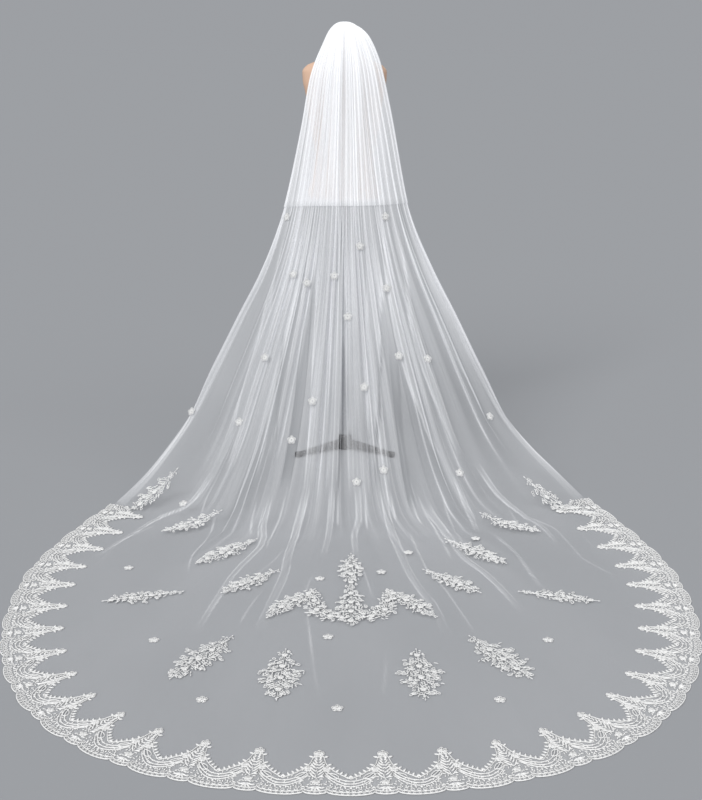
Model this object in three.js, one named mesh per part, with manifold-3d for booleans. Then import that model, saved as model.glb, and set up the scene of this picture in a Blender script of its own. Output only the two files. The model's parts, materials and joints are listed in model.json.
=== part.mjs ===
// A two-tier bridal veil with a lace edge, on a headless and armless dress form.
// Millimetres, Z up. The stand's base meets the floor at the origin, the form faces +Y,
// and the veil falls behind it and runs out along the floor towards -Y.
import * as THREE from 'three';
import Module from 'manifold-3d';
import { mergeVertices } from 'three/addons/utils/BufferGeometryUtils.js';

const wasm = await Module();
wasm.setup();

// Driving sizes of the veil
const clothThickness = 2.2;
const seamGap = 0.3;
const crownHeight = 1733;
const crownHalfWidth = 45;
const crownBack = -60;
const trainAxisX = 25;
const contactHalfWidth = 880;
const contactNear = -600;
const contactFar = -985;
const contactSkew = 30;
const contactPower = 2.6;
const sweepPower = 3;
const foldCount = 26;
const columnsPerFold = 3;
const slowCrowd = { size: 0.02, waves: 3 };
const quickCrowd = { size: 0.011, waves: 7 };
const shallowFold = 0.6;
const foldRhythm = 2.3;
const shortTierGap = 1.6;
const foldsFade = 1.35;
const foldsEnd = 1.72;
const flatBand = { from: 260, to: 480 };

// Driving sizes of the train's outline, measured from the train's middle line
const trainHalfWidth = 1060;
const widestY = -1290;
const hemLength = 1186;
const hemPower = 2.35;
const cornerInset = 160;
const cornerY = -630;
const cornerPower = 1.5;
const hemSetback = 15;
const cornerFrom = 0.72;
const hemSteps = 120;
const hemStep = 0.004;

// Driving sizes of the lace
const laceRepeats = 30;
const laceThickness = 1.2;
const sprayThickness = 1.4;
const sprayTip = 0.05;
const flowerRadius = 17.5;
const flowerThickness = 1.5;
const flowerNotch = 0.62;
const flowerSpare = 1.2;
const climbSlack = 0.03;
const landingSlack = 2.5;
const landing = { from: 1.02, to: 1.3 };

// Driving sizes of the comb, and of the band over the gathers
const neckTop = 1700;
const combTeeth = 12;
const combHalfWidth = 44;
const combBack = -45;
const combSpine = 9;
const combLength = 42;
const combThickness = 1.5;
const toothWidth = 3;
const bandDepth = 8;
const bandHeight = 4.5;

// Driving sizes of the form: its cap, and its sections from the top of the neck down, with the half
// width and the depth before and behind
const formSides = 20;
const capRadius = 60;
const capRound = 3;
const capSides = 20;
const formSections = [
  { z: 1690, width: 54, front: 54, back: 52 },
  { z: 1650, width: 54, front: 52, back: 52 },
  { z: 1615, width: 66, front: 56, back: 58 },
  { z: 1590, width: 108, front: 60, back: 62 },
  { z: 1572, width: 148, front: 62, back: 62 },
  { z: 1548, width: 165, front: 66, back: 66 },
  { z: 1510, width: 163, front: 80, back: 76 },
  { z: 1470, width: 154, front: 98, back: 82 },
  { z: 1425, width: 147, front: 116, back: 84 },
  { z: 1380, width: 144, front: 124, back: 80 },
  { z: 1310, width: 130, front: 106, back: 72 },
  { z: 1220, width: 116, front: 92, back: 66 },
  { z: 1130, width: 132, front: 98, back: 80 },
  { z: 1080, width: 146, front: 104, back: 88 },
  { z: 1060, width: 142, front: 100, back: 84 },
];

// Driving sizes of the stand: a pole on a hub with three low legs, one to the front and two behind
const pole = { radius: 15, sides: 20 };
const hub = { radius: 28, height: 58, sides: 24 };
const leg = { reach: 224, width: 24, underside: 6, riseAtHub: 48, riseAtFoot: 18 };
const foot = { radius: 15, height: 20, sides: 16 };
const legTurns = [90, 210, 330];

// How the cloth falls: out is the share of the way from the crown to where it meets the floor,
// and the other columns are the share of the crown's height at each selvage and in the middle.
const sweep = [
  { out: -0.020, left: 0.985, middle: 0.985, right: 0.985 },
  { out: -0.008, left: 0.988, middle: 0.997, right: 0.989 },
  { out: 0.012, left: 0.979, middle: 0.991, right: 0.985 },
  { out: 0.045, left: 0.949, middle: 0.961, right: 0.974 },
  { out: 0.100, left: 0.885, middle: 0.897, right: 0.921 },
  { out: 0.148, left: 0.768, middle: 0.785, right: 0.822 },
  { out: 0.235, left: 0.592, middle: 0.600, right: 0.600 },
  { out: 0.318, left: 0.477, middle: 0.475, right: 0.487 },
  { out: 0.438, left: 0.371, middle: 0.345, right: 0.371 },
  { out: 0.562, left: 0.261, middle: 0.225, right: 0.249 },
  { out: 0.674, left: 0.166, middle: 0.125, right: 0.155 },
  { out: 0.789, left: 0.095, middle: 0.052, right: 0.092 },
  { out: 0.886, left: 0.045, middle: 0.014, right: 0.050 },
  { out: 1.000, left: 0.000, middle: 0.000, right: 0.000 },
];

// How deep the folds are, by the same share of the way out, which goes on past 1 on the floor
const foldDepths = [
  { out: -0.02, depth: 1.0 },
  { out: 0.00, depth: 2.0 },
  { out: 0.03, depth: 4.0 },
  { out: 0.09, depth: 8.0 },
  { out: 0.20, depth: 14.0 },
  { out: 0.35, depth: 22.0 },
  { out: 0.55, depth: 26.0 },
  { out: 0.80, depth: 16.0 },
  { out: 0.90, depth: 11.0 },
  { out: 1.00, depth: 8.0 },
  { out: 1.15, depth: 5.0 },
  { out: 1.35, depth: 3.0 },
  { out: 1.70, depth: 1.0 },
  { out: 2.00, depth: 0.0 },
];

// The rows of the two walls: the long one goes on over the floor to the hem, at 2
const longRows = sweep.map((row) => row.out).concat([1.14, foldsFade, foldsEnd, 2]);
const shortHem = 0.228;
const shortRows = sweep.map((row) => row.out).filter((out) => out < shortHem).concat([shortHem]);

// Straight-line interpolation in a table, between the columns named
function lookUp(table, key, at, column) {
  let row = 0;
  while (row < table.length - 2 && at > table[row + 1][key]) {
    row += 1;
  }
  const low = table[row];
  const high = table[row + 1];
  const share = THREE.MathUtils.clamp((at - low[key]) / (high[key] - low[key]), 0, 1);
  return THREE.MathUtils.lerp(low[column], high[column], share);
}

// The half outline of the train on the floor: a superellipse below its widest line and a power
// curve from there to the corner, with the length run from the middle of the hem.
function halfOutline() {
  const points = [];
  for (let i = 0; i <= hemSteps; i += 1) {
    const turn = (i / hemSteps) * Math.PI / 2;
    const x = trainHalfWidth * Math.sin(turn) ** (2 / hemPower);
    const y = widestY - hemLength * Math.cos(turn) ** (2 / hemPower);
    points.push({ x, y });
  }
  for (let i = 1; i <= hemSteps; i += 1) {
    const share = i / hemSteps;
    const x = trainHalfWidth - cornerInset * share ** cornerPower;
    points.push({ x, y: THREE.MathUtils.lerp(widestY, cornerY, share) });
  }
  points[0].run = 0;
  for (let i = 1; i < points.length; i += 1) {
    const step = Math.hypot(points[i].x - points[i - 1].x, points[i].y - points[i - 1].y);
    points[i].run = points[i - 1].run + step;
  }
  return points;
}

const halfHem = halfOutline();
const halfHemLength = halfHem[halfHem.length - 1].run;

// A point of the lace's outer edge: share runs from -1 at the left corner to 1 at the right
function outline(share, inward = 0) {
  const run = Math.abs(share) * halfHemLength;
  const side = share < 0 ? -1 : 1;
  const pastSide = THREE.MathUtils.clamp((Math.abs(share) - cornerFrom) / (1 - cornerFrom), 0, 1);
  const turned = pastSide ** cornerPower;
  const x = side * lookUp(halfHem, 'run', run, 'x');
  const y = lookUp(halfHem, 'run', run, 'y') + side * contactSkew * turned;
  if (inward === 0) {
    return new THREE.Vector2(trainAxisX + x, y);
  }
  const before = outline(Math.max(share - hemStep, -1));
  const after = outline(Math.min(share + hemStep, 1));
  const along = after.sub(before).normalize();
  return new THREE.Vector2(trainAxisX + x - along.y * inward, y + along.x * inward);
}

// The folds crowd and part across the width
function crowd(across) {
  const slow = slowCrowd.size * Math.sin(slowCrowd.waves * Math.PI * across);
  const quick = quickCrowd.size * Math.sin(quickCrowd.waves * Math.PI * across);
  return across + slow + quick;
}

// Where the cloth leaves the crown and where it meets the floor, in plan
function crownPoint(place) {
  return new THREE.Vector2(crownHalfWidth * place, crownBack);
}

function contactPoint(place) {
  const bow = (contactFar - contactNear) * (1 - Math.abs(place) ** contactPower);
  return new THREE.Vector2(trainAxisX + contactHalfWidth * place, contactNear + bow + contactSkew * place);
}

function sweepHeight(place, out) {
  const edge = lookUp(sweep, 'out', out, place < 0 ? 'left' : 'right');
  const middle = lookUp(sweep, 'out', out, 'middle');
  return crownHeight * THREE.MathUtils.lerp(middle, edge, Math.min(Math.abs(place), 1) ** sweepPower);
}

// Share of the way out that lies under a plan point, which is above 1 on the floor
function reachOver(x, y) {
  let low = sweep[0].out;
  let high = 3;
  const halvings = 40;
  for (let i = 0; i < halvings; i += 1) {
    const out = (low + high) / 2;
    const width = crownHalfWidth * (1 - out) + contactHalfWidth * out;
    const place = THREE.MathUtils.clamp((x - trainAxisX * out) / width, -1, 1);
    const there = crownBack + out * (contactPoint(place).y - crownBack);
    if (there > y) {
      low = out;
    } else {
      high = out;
    }
  }
  const out = (low + high) / 2;
  const width = crownHalfWidth * (1 - out) + contactHalfWidth * out;
  return { out, place: THREE.MathUtils.clamp((x - trainAxisX * out) / width, -1, 1) };
}

// The smooth upper surface of the long tier, with no folds, over a plan point, moved up by lift.
// Where the cloth climbs, what lies on it stands off a little more.
function overPlan(x, y, lift) {
  const { out, place } = reachOver(x, y);
  const height = sweepHeight(place, Math.min(out, 1));
  const landed = THREE.MathUtils.smoothstep(out, landing.from, landing.to);
  const slack = climbSlack * height + landingSlack * (1 - landed);
  return new THREE.Vector3(x, y, clothThickness + height + slack + seamGap + lift);
}

// The same surface by the share across, from -1 to 1, and the share out, from the crown to the hem
function envelope(across, out) {
  const place = crowd(across);
  const hanging = Math.min(out, 1);
  const lying = Math.max(out - 1, 0);
  const crown = crownPoint(place);
  const contact = contactPoint(place);
  const plan = crown.lerp(contact, hanging);
  plan.lerp(outline(across, hemSetback), lying);
  return new THREE.Vector3(plan.x, plan.y, clothThickness + sweepHeight(place, hanging));
}

function envelopeNormal(across, out) {
  const step = 0.002;
  const left = envelope(Math.max(across - step, -1), out);
  const right = envelope(Math.min(across + step, 1), out);
  const above = envelope(across, out - step);
  const below = envelope(across, out + step);
  return below.sub(above).cross(right.sub(left)).normalize();
}

// One rounded ridge for each fold, from 0 in a trough up to the fold's own share of the depth
function foldWave(across) {
  const turns = (across + 1) / 2 * foldCount;
  const fold = Math.floor(turns);
  const own = shallowFold + (1 - shallowFold) * Math.abs(Math.sin(foldRhythm * fold + 1));
  return own * (1 - Math.cos(2 * Math.PI * turns)) / 2;
}

// The distance in plan from a point to the hem
function hemDistance(x, y) {
  let least = Infinity;
  halfHem.forEach((point) => {
    const side = Math.abs(x - trainAxisX) - point.x;
    const turned = x < trainAxisX ? -contactSkew : contactSkew;
    const skew = point.y > widestY ? turned * (point.y - widestY) / (cornerY - widestY) : 0;
    least = Math.min(least, Math.hypot(side, y - point.y - skew));
  });
  return least;
}

// The folds lie flat under the lace edge and grow from there
function foldHeight(across, out) {
  const plan = envelope(across, out);
  const reach = out < 1 ? out : reachOver(plan.x, plan.y).out;
  const clear = THREE.MathUtils.smoothstep(hemDistance(plan.x, plan.y), flatBand.from, flatBand.to);
  const fade = clear * (1 - THREE.MathUtils.smoothstep(out, foldsFade, foldsEnd));
  return lookUp(foldDepths, 'out', reach, 'depth') * foldWave(across) * fade;
}

// A point of the long tier's outer face, moved out by lift
function tierPoint(across, out, lift = 0) {
  const normal = envelopeNormal(across, out);
  return envelope(across, out).addScaledVector(normal, foldHeight(across, out) + lift);
}

// A closed mesh from loose triangles, with flat ones left out
function closedMesh(triangles) {
  const corners = [];
  triangles.forEach(([a, b, c]) => {
    const area = b.clone().sub(a).cross(c.clone().sub(a)).length();
    if (area > 1e-5) {
      corners.push(a, b, c);
    }
  });
  const geometry = new THREE.BufferGeometry().setFromPoints(corners);
  geometry.computeVertexNormals();
  return geometry;
}

function quad(triangles, a, b, c, d) {
  triangles.push([a, b, c], [a, c, d]);
}

// A wall between two grids of points: outer faces out, and the rim closes the two
function wall(outer, inner) {
  const triangles = [];
  const lastRow = outer.length - 1;
  const lastColumn = outer[0].length - 1;
  for (let i = 0; i < lastRow; i += 1) {
    for (let j = 0; j < lastColumn; j += 1) {
      quad(triangles, outer[i][j], outer[i + 1][j], outer[i + 1][j + 1], outer[i][j + 1]);
      quad(triangles, inner[i][j], inner[i][j + 1], inner[i + 1][j + 1], inner[i + 1][j]);
    }
    quad(triangles, outer[i][0], inner[i][0], inner[i + 1][0], outer[i + 1][0]);
    const o = [outer[i][lastColumn], outer[i + 1][lastColumn]];
    const n = [inner[i][lastColumn], inner[i + 1][lastColumn]];
    quad(triangles, o[0], o[1], n[1], n[0]);
  }
  for (let j = 0; j < lastColumn; j += 1) {
    quad(triangles, outer[0][j], outer[0][j + 1], inner[0][j + 1], inner[0][j]);
    const o = [outer[lastRow][j], outer[lastRow][j + 1]];
    const n = [inner[lastRow][j], inner[lastRow][j + 1]];
    quad(triangles, o[0], n[0], n[1], o[1]);
  }
  return closedMesh(triangles);
}

// One tier of the veil: a folded wall over the rows given, lift outside the long tier's face
function tier(rows, lift) {
  const columns = foldCount * columnsPerFold;
  const grid = (depth) => rows.map((out) => {
    const row = [];
    for (let j = 0; j <= columns; j += 1) {
      row.push(tierPoint((2 * j) / columns - 1, out, depth));
    }
    return row;
  });
  return wall(grid(lift), grid(lift - clothThickness));
}

// A flat outline with holes, carried by place to a lower and an upper face
function plate(contour, holes, place) {
  const faces = THREE.ShapeUtils.triangulateShape(contour, holes);
  const points = contour.concat(...holes);
  const lower = points.map((point) => place(point, 0));
  const upper = points.map((point) => place(point, 1));
  const triangles = [];
  faces.forEach(([a, b, c]) => {
    triangles.push([upper[a], upper[b], upper[c]], [lower[a], lower[c], lower[b]]);
  });
  let start = 0;
  [contour, ...holes].forEach((loop) => {
    for (let i = 0; i < loop.length; i += 1) {
      const here = start + i;
      const next = start + (i + 1) % loop.length;
      quad(triangles, lower[here], lower[next], upper[next], upper[here]);
    }
    start += loop.length;
  });
  return closedMesh(triangles);
}

// One repeat of the lace edge, measured along the hem from the middle of a spike and inward
// from the outer edge: the spike stands over a small fan, with a wide lobe on either side.
const laceInner = [
  { along: -0.500, inward: 76 },
  { along: -0.310, inward: 92 },
  { along: -0.110, inward: 130 },
  { along: -0.080, inward: 166 },
  { along: 0.000, inward: 183 },
  { along: 0.080, inward: 166 },
  { along: 0.110, inward: 130 },
  { along: 0.310, inward: 92 },
];
const laceOuter = [
  { along: -0.500, inward: 0 },
  { along: -0.170, inward: 15 },
  { along: 0.000, inward: 5 },
  { along: 0.170, inward: 15 },
];
const laceEye = { along: 0.23, inward: 78, halfLength: 14, halfWidth: 7.5, tilt: 0.55, corners: 6 };

// Shares of the hem at the middle of each spike
function spikePlaces() {
  const places = [];
  for (let i = 0; i < laceRepeats; i += 1) {
    places.push((2 * i + 1) / laceRepeats - 1);
  }
  return places;
}

// The lace edge lies on the tulle, so its points are taken over the plan and moved out
function laceBorder() {
  const inner = [];
  const outer = [];
  const eyes = [];
  const repeat = 2 / laceRepeats;
  spikePlaces().forEach((middle) => {
    const shareOf = (along) => middle + repeat * along;
    laceInner.forEach((row) => inner.push({ share: shareOf(row.along), inward: row.inward }));
    laceOuter.forEach((row) => outer.push({ share: shareOf(row.along), inward: row.inward }));
    [-1, 1].forEach((side) => eyes.push({ share: shareOf(side * laceEye.along), side }));
  });
  inner.push({ share: 1, inward: laceInner[0].inward });
  outer.push({ share: 1, inward: laceOuter[0].inward });
  const plan = (point) => outline(point.share, point.inward);
  const contour = outer.map(plan).concat(inner.reverse().map(plan));
  const holes = eyes.map((eye) => {
    const loop = [];
    for (let i = 0; i < laceEye.corners; i += 1) {
      const turn = -i / laceEye.corners * 2 * Math.PI;
      const spot = new THREE.Vector2(laceEye.halfLength * Math.cos(turn), laceEye.halfWidth * Math.sin(turn));
      spot.rotateAround(new THREE.Vector2(), -eye.side * laceEye.tilt);
      loop.push(outline(eye.share + spot.x / halfHemLength, laceEye.inward + spot.y));
    }
    return loop;
  });
  const place = (point, level) => overPlan(point.x, point.y, level * laceThickness);
  return plate(contour, holes, place);
}

// Half a leafy spray: along its length from 0 to 1, the half width as a share of the widest
const sprayEdge = [
  { along: 0.00, width: 0.00 },
  { along: 0.07, width: 0.34 },
  { along: 0.16, width: 0.22 },
  { along: 0.27, width: 0.72 },
  { along: 0.36, width: 0.50 },
  { along: 0.47, width: 1.00 },
  { along: 0.57, width: 0.66 },
  { along: 0.68, width: 0.88 },
  { along: 0.78, width: 0.46 },
  { along: 0.88, width: 0.56 },
  { along: 1.00, width: 0.00 },
];

// The sprays of one side, from the near end to the far end, measured from the train's middle
// line and mirrored on the other side. lift is the height of the folds under each.
const sprays = [
  { name: 'corner', nearX: 655, nearY: -612, farX: 812, farY: -722, halfWidth: 48, lift: 3 },
  { name: 'shoulder', nearX: 469, nearY: -830, farX: 658, farY: -946, halfWidth: 44, lift: 11 },
  { name: 'waist', nearX: 328, nearY: -1015, farX: 508, farY: -1207, halfWidth: 50, lift: 8 },
  { name: 'inner', nearX: 239, nearY: -1256, farX: 402, farY: -1422, halfWidth: 46, lift: 5 },
  { name: 'outer', nearX: 531, nearY: -1415, farX: 760, farY: -1481, halfWidth: 42, lift: 4 },
  { name: 'lower', nearX: 346, nearY: -1709, farX: 487, farY: -1946, halfWidth: 62, lift: 2 },
  { name: 'hem', nearX: 185, nearY: -1789, farX: 195, farY: -2055, halfWidth: 66, lift: 2 },
];

function spray(row, side) {
  const near = new THREE.Vector2(trainAxisX + side * row.nearX, row.nearY);
  const far = new THREE.Vector2(trainAxisX + side * row.farX, row.farY);
  const along = far.clone().sub(near);
  const across = new THREE.Vector2(-along.y, along.x).normalize();
  const at = (share, width, level) => {
    const plan = near.clone().addScaledVector(along, share);
    plan.addScaledVector(across, width * row.halfWidth);
    return overPlan(plan.x, plan.y, row.lift + level * sprayThickness);
  };
  const grid = (level) => sprayEdge.map((edge) => {
    const width = Math.max(edge.width, sprayTip);
    return [at(edge.along, -width, level), at(edge.along, 0, level), at(edge.along, width, level)];
  });
  return wall(grid(1), grid(0));
}

// The centre motif: a spire with a garland to each side, its right half from the spire's tip
// down and round to the foot, measured from the train's middle line
const motifHalf = [
  { x: 0, y: -1128 },
  { x: 26, y: -1200 },
  { x: 40, y: -1275 },
  { x: 22, y: -1345 },
  { x: 14, y: -1400 },
  { x: 40, y: -1462 },
  { x: 78, y: -1480 },
  { x: 92, y: -1420 },
  { x: 118, y: -1392 },
  { x: 172, y: -1412 },
  { x: 236, y: -1448 },
  { x: 262, y: -1520 },
  { x: 250, y: -1596 },
  { x: 206, y: -1560 },
  { x: 160, y: -1500 },
  { x: 142, y: -1566 },
  { x: 92, y: -1610 },
  { x: 38, y: -1622 },
  { x: 0, y: -1648 },
];
const motifLift = 6;

function centreMotif() {
  const right = motifHalf.map((row) => new THREE.Vector2(row.x, row.y));
  const left = motifHalf.slice(1, -1).reverse().map((row) => new THREE.Vector2(-row.x, row.y));
  const contour = right.concat(left).reverse();
  return plate(contour, [], (point, level) => (
    overPlan(trainAxisX + point.x, point.y, motifLift + level * sprayThickness)
  ));
}

// The small flowers, by the share across and the share out
const flowers = [
  { across: -0.887, out: 0.244 },
  { across: 0.595, out: 0.244 },
  { across: 0.155, out: 0.284 },
  { across: -0.615, out: 0.330 },
  { across: -0.470, out: 0.344 },
  { across: -0.127, out: 0.329 },
  { across: 0.448, out: 0.354 },
  { across: 0.000, out: 0.404 },
  { across: -0.650, out: 0.500 },
  { across: 0.427, out: 0.485 },
  { across: 0.625, out: 0.501 },
  { across: 0.088, out: 0.544 },
  { across: -0.245, out: 0.573 },
  { across: -0.983, out: 0.669 },
  { across: 0.875, out: 0.657 },
  { across: -0.682, out: 0.642 },
  { across: -0.343, out: 0.656 },
  { across: 0.175, out: 0.730 },
  { across: 0.593, out: 0.766 },
  { across: 0.025, out: 0.760 },
  { across: 0.472, out: 1.074 },
  { across: 0.175, out: 1.101 },
  { across: -0.070, out: 1.221 },
  { across: 0.068, out: 1.193 },
  { across: -0.752, out: 0.912 },
  { across: -0.587, out: 1.438 },
  { across: -0.328, out: 1.614 },
  { across: 0.325, out: 1.617 },
  { across: -0.037, out: 1.489 },
  { across: -0.190, out: 1.764 },
  { across: 0.188, out: 1.765 },
  { across: -0.017, out: 1.754 },
];

// The highest fold under a flower, so that it rests on it
function crestUnder(across, out) {
  const step = 0.001;
  const width = envelope(across + step, out).distanceTo(envelope(across - step, out)) / (2 * step);
  let crest = 0;
  for (let i = -4; i <= 4; i += 1) {
    const place = THREE.MathUtils.clamp(across + (i / 4) * flowerRadius / width, -1, 1);
    crest = Math.max(crest, foldHeight(place, out));
  }
  return crest;
}

// A five-petalled flower with a raised middle
function flower(row) {
  const petals = 5;
  const middle = envelope(row.across, row.out);
  const up = envelopeNormal(row.across, row.out);
  middle.addScaledVector(up, crestUnder(row.across, row.out) + flowerSpare);
  const side = new THREE.Vector3(1, 0, 0).addScaledVector(up, -up.x).normalize();
  const back = up.clone().cross(side);
  const ring = (lift) => {
    const points = [];
    for (let i = 0; i < 2 * petals; i += 1) {
      const radius = flowerRadius * (i % 2 === 0 ? 1 : flowerNotch);
      const turn = i / (2 * petals) * 2 * Math.PI;
      const spot = middle.clone().addScaledVector(up, lift);
      spot.addScaledVector(side, radius * Math.cos(turn));
      points.push(spot.addScaledVector(back, radius * Math.sin(turn)));
    }
    return points;
  };
  const lower = ring(0);
  const upper = ring(flowerThickness);
  const crown = middle.clone().addScaledVector(up, 2 * flowerThickness);
  const triangles = [];
  for (let i = 0; i < lower.length; i += 1) {
    const next = (i + 1) % lower.length;
    triangles.push([middle, lower[next], lower[i]], [crown, upper[i], upper[next]]);
    quad(triangles, lower[i], lower[next], upper[next], upper[i]);
  }
  return closedMesh(triangles);
}

// The comb lies on the neck cap with its teeth forward, and the band holds the gathers on it
function comb() {
  const shape = new THREE.Shape();
  shape.moveTo(-combHalfWidth, 0);
  shape.lineTo(combHalfWidth, 0);
  const pitch = (2 * combHalfWidth - toothWidth) / (combTeeth - 1);
  for (let i = combTeeth - 1; i >= 0; i -= 1) {
    const middle = -combHalfWidth + toothWidth / 2 + i * pitch;
    shape.lineTo(middle + toothWidth / 2, combSpine);
    shape.lineTo(middle + toothWidth / 4, combLength);
    shape.lineTo(middle - toothWidth / 4, combLength);
    shape.lineTo(middle - toothWidth / 2, combSpine);
  }
  return new THREE.ExtrudeGeometry(shape, { depth: combThickness, bevelEnabled: false });
}

function gatherBand() {
  const shape = new THREE.Shape();
  const half = bandDepth / 2;
  shape.moveTo(-combHalfWidth + half, -half);
  shape.lineTo(combHalfWidth - half, -half);
  shape.absarc(combHalfWidth - half, 0, half, -Math.PI / 2, Math.PI / 2, false);
  shape.lineTo(-combHalfWidth + half, half);
  shape.absarc(-combHalfWidth + half, 0, half, Math.PI / 2, 3 * Math.PI / 2, false);
  return new THREE.ExtrudeGeometry(shape, { depth: bandHeight, bevelEnabled: false, curveSegments: 4 });
}

// The form: half an ellipse in front and half behind at every section
function dressForm() {
  const rings = formSections.map((row) => {
    const ring = [];
    for (let i = 0; i < formSides; i += 1) {
      const turn = i / formSides * 2 * Math.PI;
      const depth = Math.sin(turn) > 0 ? row.front : row.back;
      ring.push(new THREE.Vector3(row.width * Math.cos(turn), depth * Math.sin(turn), row.z));
    }
    return ring;
  });
  const triangles = [];
  const top = rings[0];
  const bottom = rings[rings.length - 1];
  const topMiddle = new THREE.Vector3(0, 0, top[0].z);
  const bottomMiddle = new THREE.Vector3(0, 0, bottom[0].z);
  for (let i = 0; i < formSides; i += 1) {
    const next = (i + 1) % formSides;
    triangles.push([topMiddle, top[i], top[next]], [bottomMiddle, bottom[next], bottom[i]]);
    for (let j = 0; j + 1 < rings.length; j += 1) {
      quad(triangles, rings[j][i], rings[j + 1][i], rings[j + 1][next], rings[j][next]);
    }
  }
  return closedMesh(triangles);
}

// The cap on the neck, turned from its half section
function neckCap() {
  const low = formSections[0].z + seamGap;
  const high = neckTop;
  const profile = [
    new THREE.Vector2(0, low),
    new THREE.Vector2(capRadius - capRound, low),
    new THREE.Vector2(capRadius, low + capRound),
    new THREE.Vector2(capRadius, high - capRound),
    new THREE.Vector2(capRadius - capRound, high),
    new THREE.Vector2(0, high),
  ];
  return new THREE.LatheGeometry(profile, capSides).rotateX(Math.PI / 2);
}

function manifoldOf(geometry) {
  const bare = geometry.clone();
  bare.deleteAttribute('normal');
  bare.deleteAttribute('uv');
  const merged = mergeVertices(bare, 1e-4);
  const mesh = new wasm.Mesh({
    numProp: 3,
    vertProperties: new Float32Array(merged.attributes.position.array),
    triVerts: new Uint32Array(merged.index.array),
  });
  return new wasm.Manifold(mesh);
}

function geometryOf(manifold) {
  const mesh = manifold.getMesh();
  const geometry = new THREE.BufferGeometry();
  geometry.setAttribute('position', new THREE.BufferAttribute(new Float32Array(mesh.vertProperties), 3));
  geometry.setIndex(Array.from(mesh.triVerts));
  geometry.computeVertexNormals();
  return geometry;
}

// An upright cylinder standing on the given height
function post(radius, height, bottom, sides) {
  return new THREE.CylinderGeometry(radius, radius, height, sides)
    .rotateX(Math.PI / 2)
    .translate(0, 0, bottom + height / 2);
}

// The base: a hub with three sloping legs, each on a round foot
function standBase() {
  let base = manifoldOf(post(hub.radius, hub.height, 0, hub.sides));
  legTurns.forEach((degrees) => {
    const turn = degrees * Math.PI / 180;
    const side = new THREE.Shape();
    side.moveTo(0, leg.underside);
    side.lineTo(leg.reach, leg.underside);
    side.lineTo(leg.reach, leg.riseAtFoot);
    side.lineTo(0, leg.riseAtHub);
    side.closePath();
    const bar = new THREE.ExtrudeGeometry(side, { depth: leg.width, bevelEnabled: false });
    bar.translate(0, 0, -leg.width / 2).rotateX(Math.PI / 2).rotateZ(turn);
    const pad = post(foot.radius, foot.height, 0, foot.sides);
    pad.translate(leg.reach * Math.cos(turn), leg.reach * Math.sin(turn), 0);
    base = base.add(manifoldOf(bar)).add(manifoldOf(pad));
  });
  return geometryOf(base);
}

const finishes = {
  tulle: { color: 0xf4f5f7, roughness: 0.85, metalness: 0 },
  lace: { color: 0xfbfaf6, roughness: 0.7, metalness: 0 },
  skin: { color: 0xdcb79c, roughness: 0.6, metalness: 0 },
  wood: { color: 0x4a3426, roughness: 0.5, metalness: 0 },
  ribbon: { color: 0xf6f4ee, roughness: 0.45, metalness: 0 },
  steel: { color: 0xc9ccd0, roughness: 0.3, metalness: 0.9 },
  black: { color: 0x17181a, roughness: 0.45, metalness: 0.2 },
};

const veil = new THREE.Group();

function place(name, geometry, finish) {
  const mesh = new THREE.Mesh(geometry, new THREE.MeshStandardMaterial(finishes[finish]));
  mesh.name = name;
  veil.add(mesh);
  return mesh;
}

place('long_tier', tier(longRows, 0), 'tulle');
place('short_tier', tier(shortRows, clothThickness + shortTierGap), 'tulle');
place('lace_border', laceBorder(), 'lace');
place('centre_motif', centreMotif(), 'lace');
sprays.forEach((row) => {
  place(`spray_${row.name}_left`, spray(row, -1), 'lace');
  place(`spray_${row.name}_right`, spray(row, 1), 'lace');
});
flowers.forEach((row, index) => {
  place(`flower_${String(index + 1).padStart(2, '0')}`, flower(row), 'lace');
});
const combBottom = neckTop + seamGap;
place('comb', comb(), 'steel').position.set(0, combBack, combBottom);
const bandBottom = combBottom + combThickness + seamGap;
place('gather_band', gatherBand(), 'ribbon').position.set(0, combBack + bandDepth / 2, bandBottom);
place('dress_form', dressForm(), 'skin');
place('neck_cap', neckCap(), 'wood');
const poleLength = formSections[formSections.length - 1].z - hub.height - 2 * seamGap;
place('stand_pole', post(pole.radius, poleLength, hub.height + seamGap, pole.sides), 'steel');
place('stand_base', standBase(), 'black');

export default veil;
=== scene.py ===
"""A bridal veil in two tiers of white tulle, with a corded lace edge, on a headless dress form.

Metres, Z up, in the frame of the solids: the stand meets the floor at the origin, the form faces +Y,
and the veil falls behind it and runs out along the floor towards -Y."""
import json
import math

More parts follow.
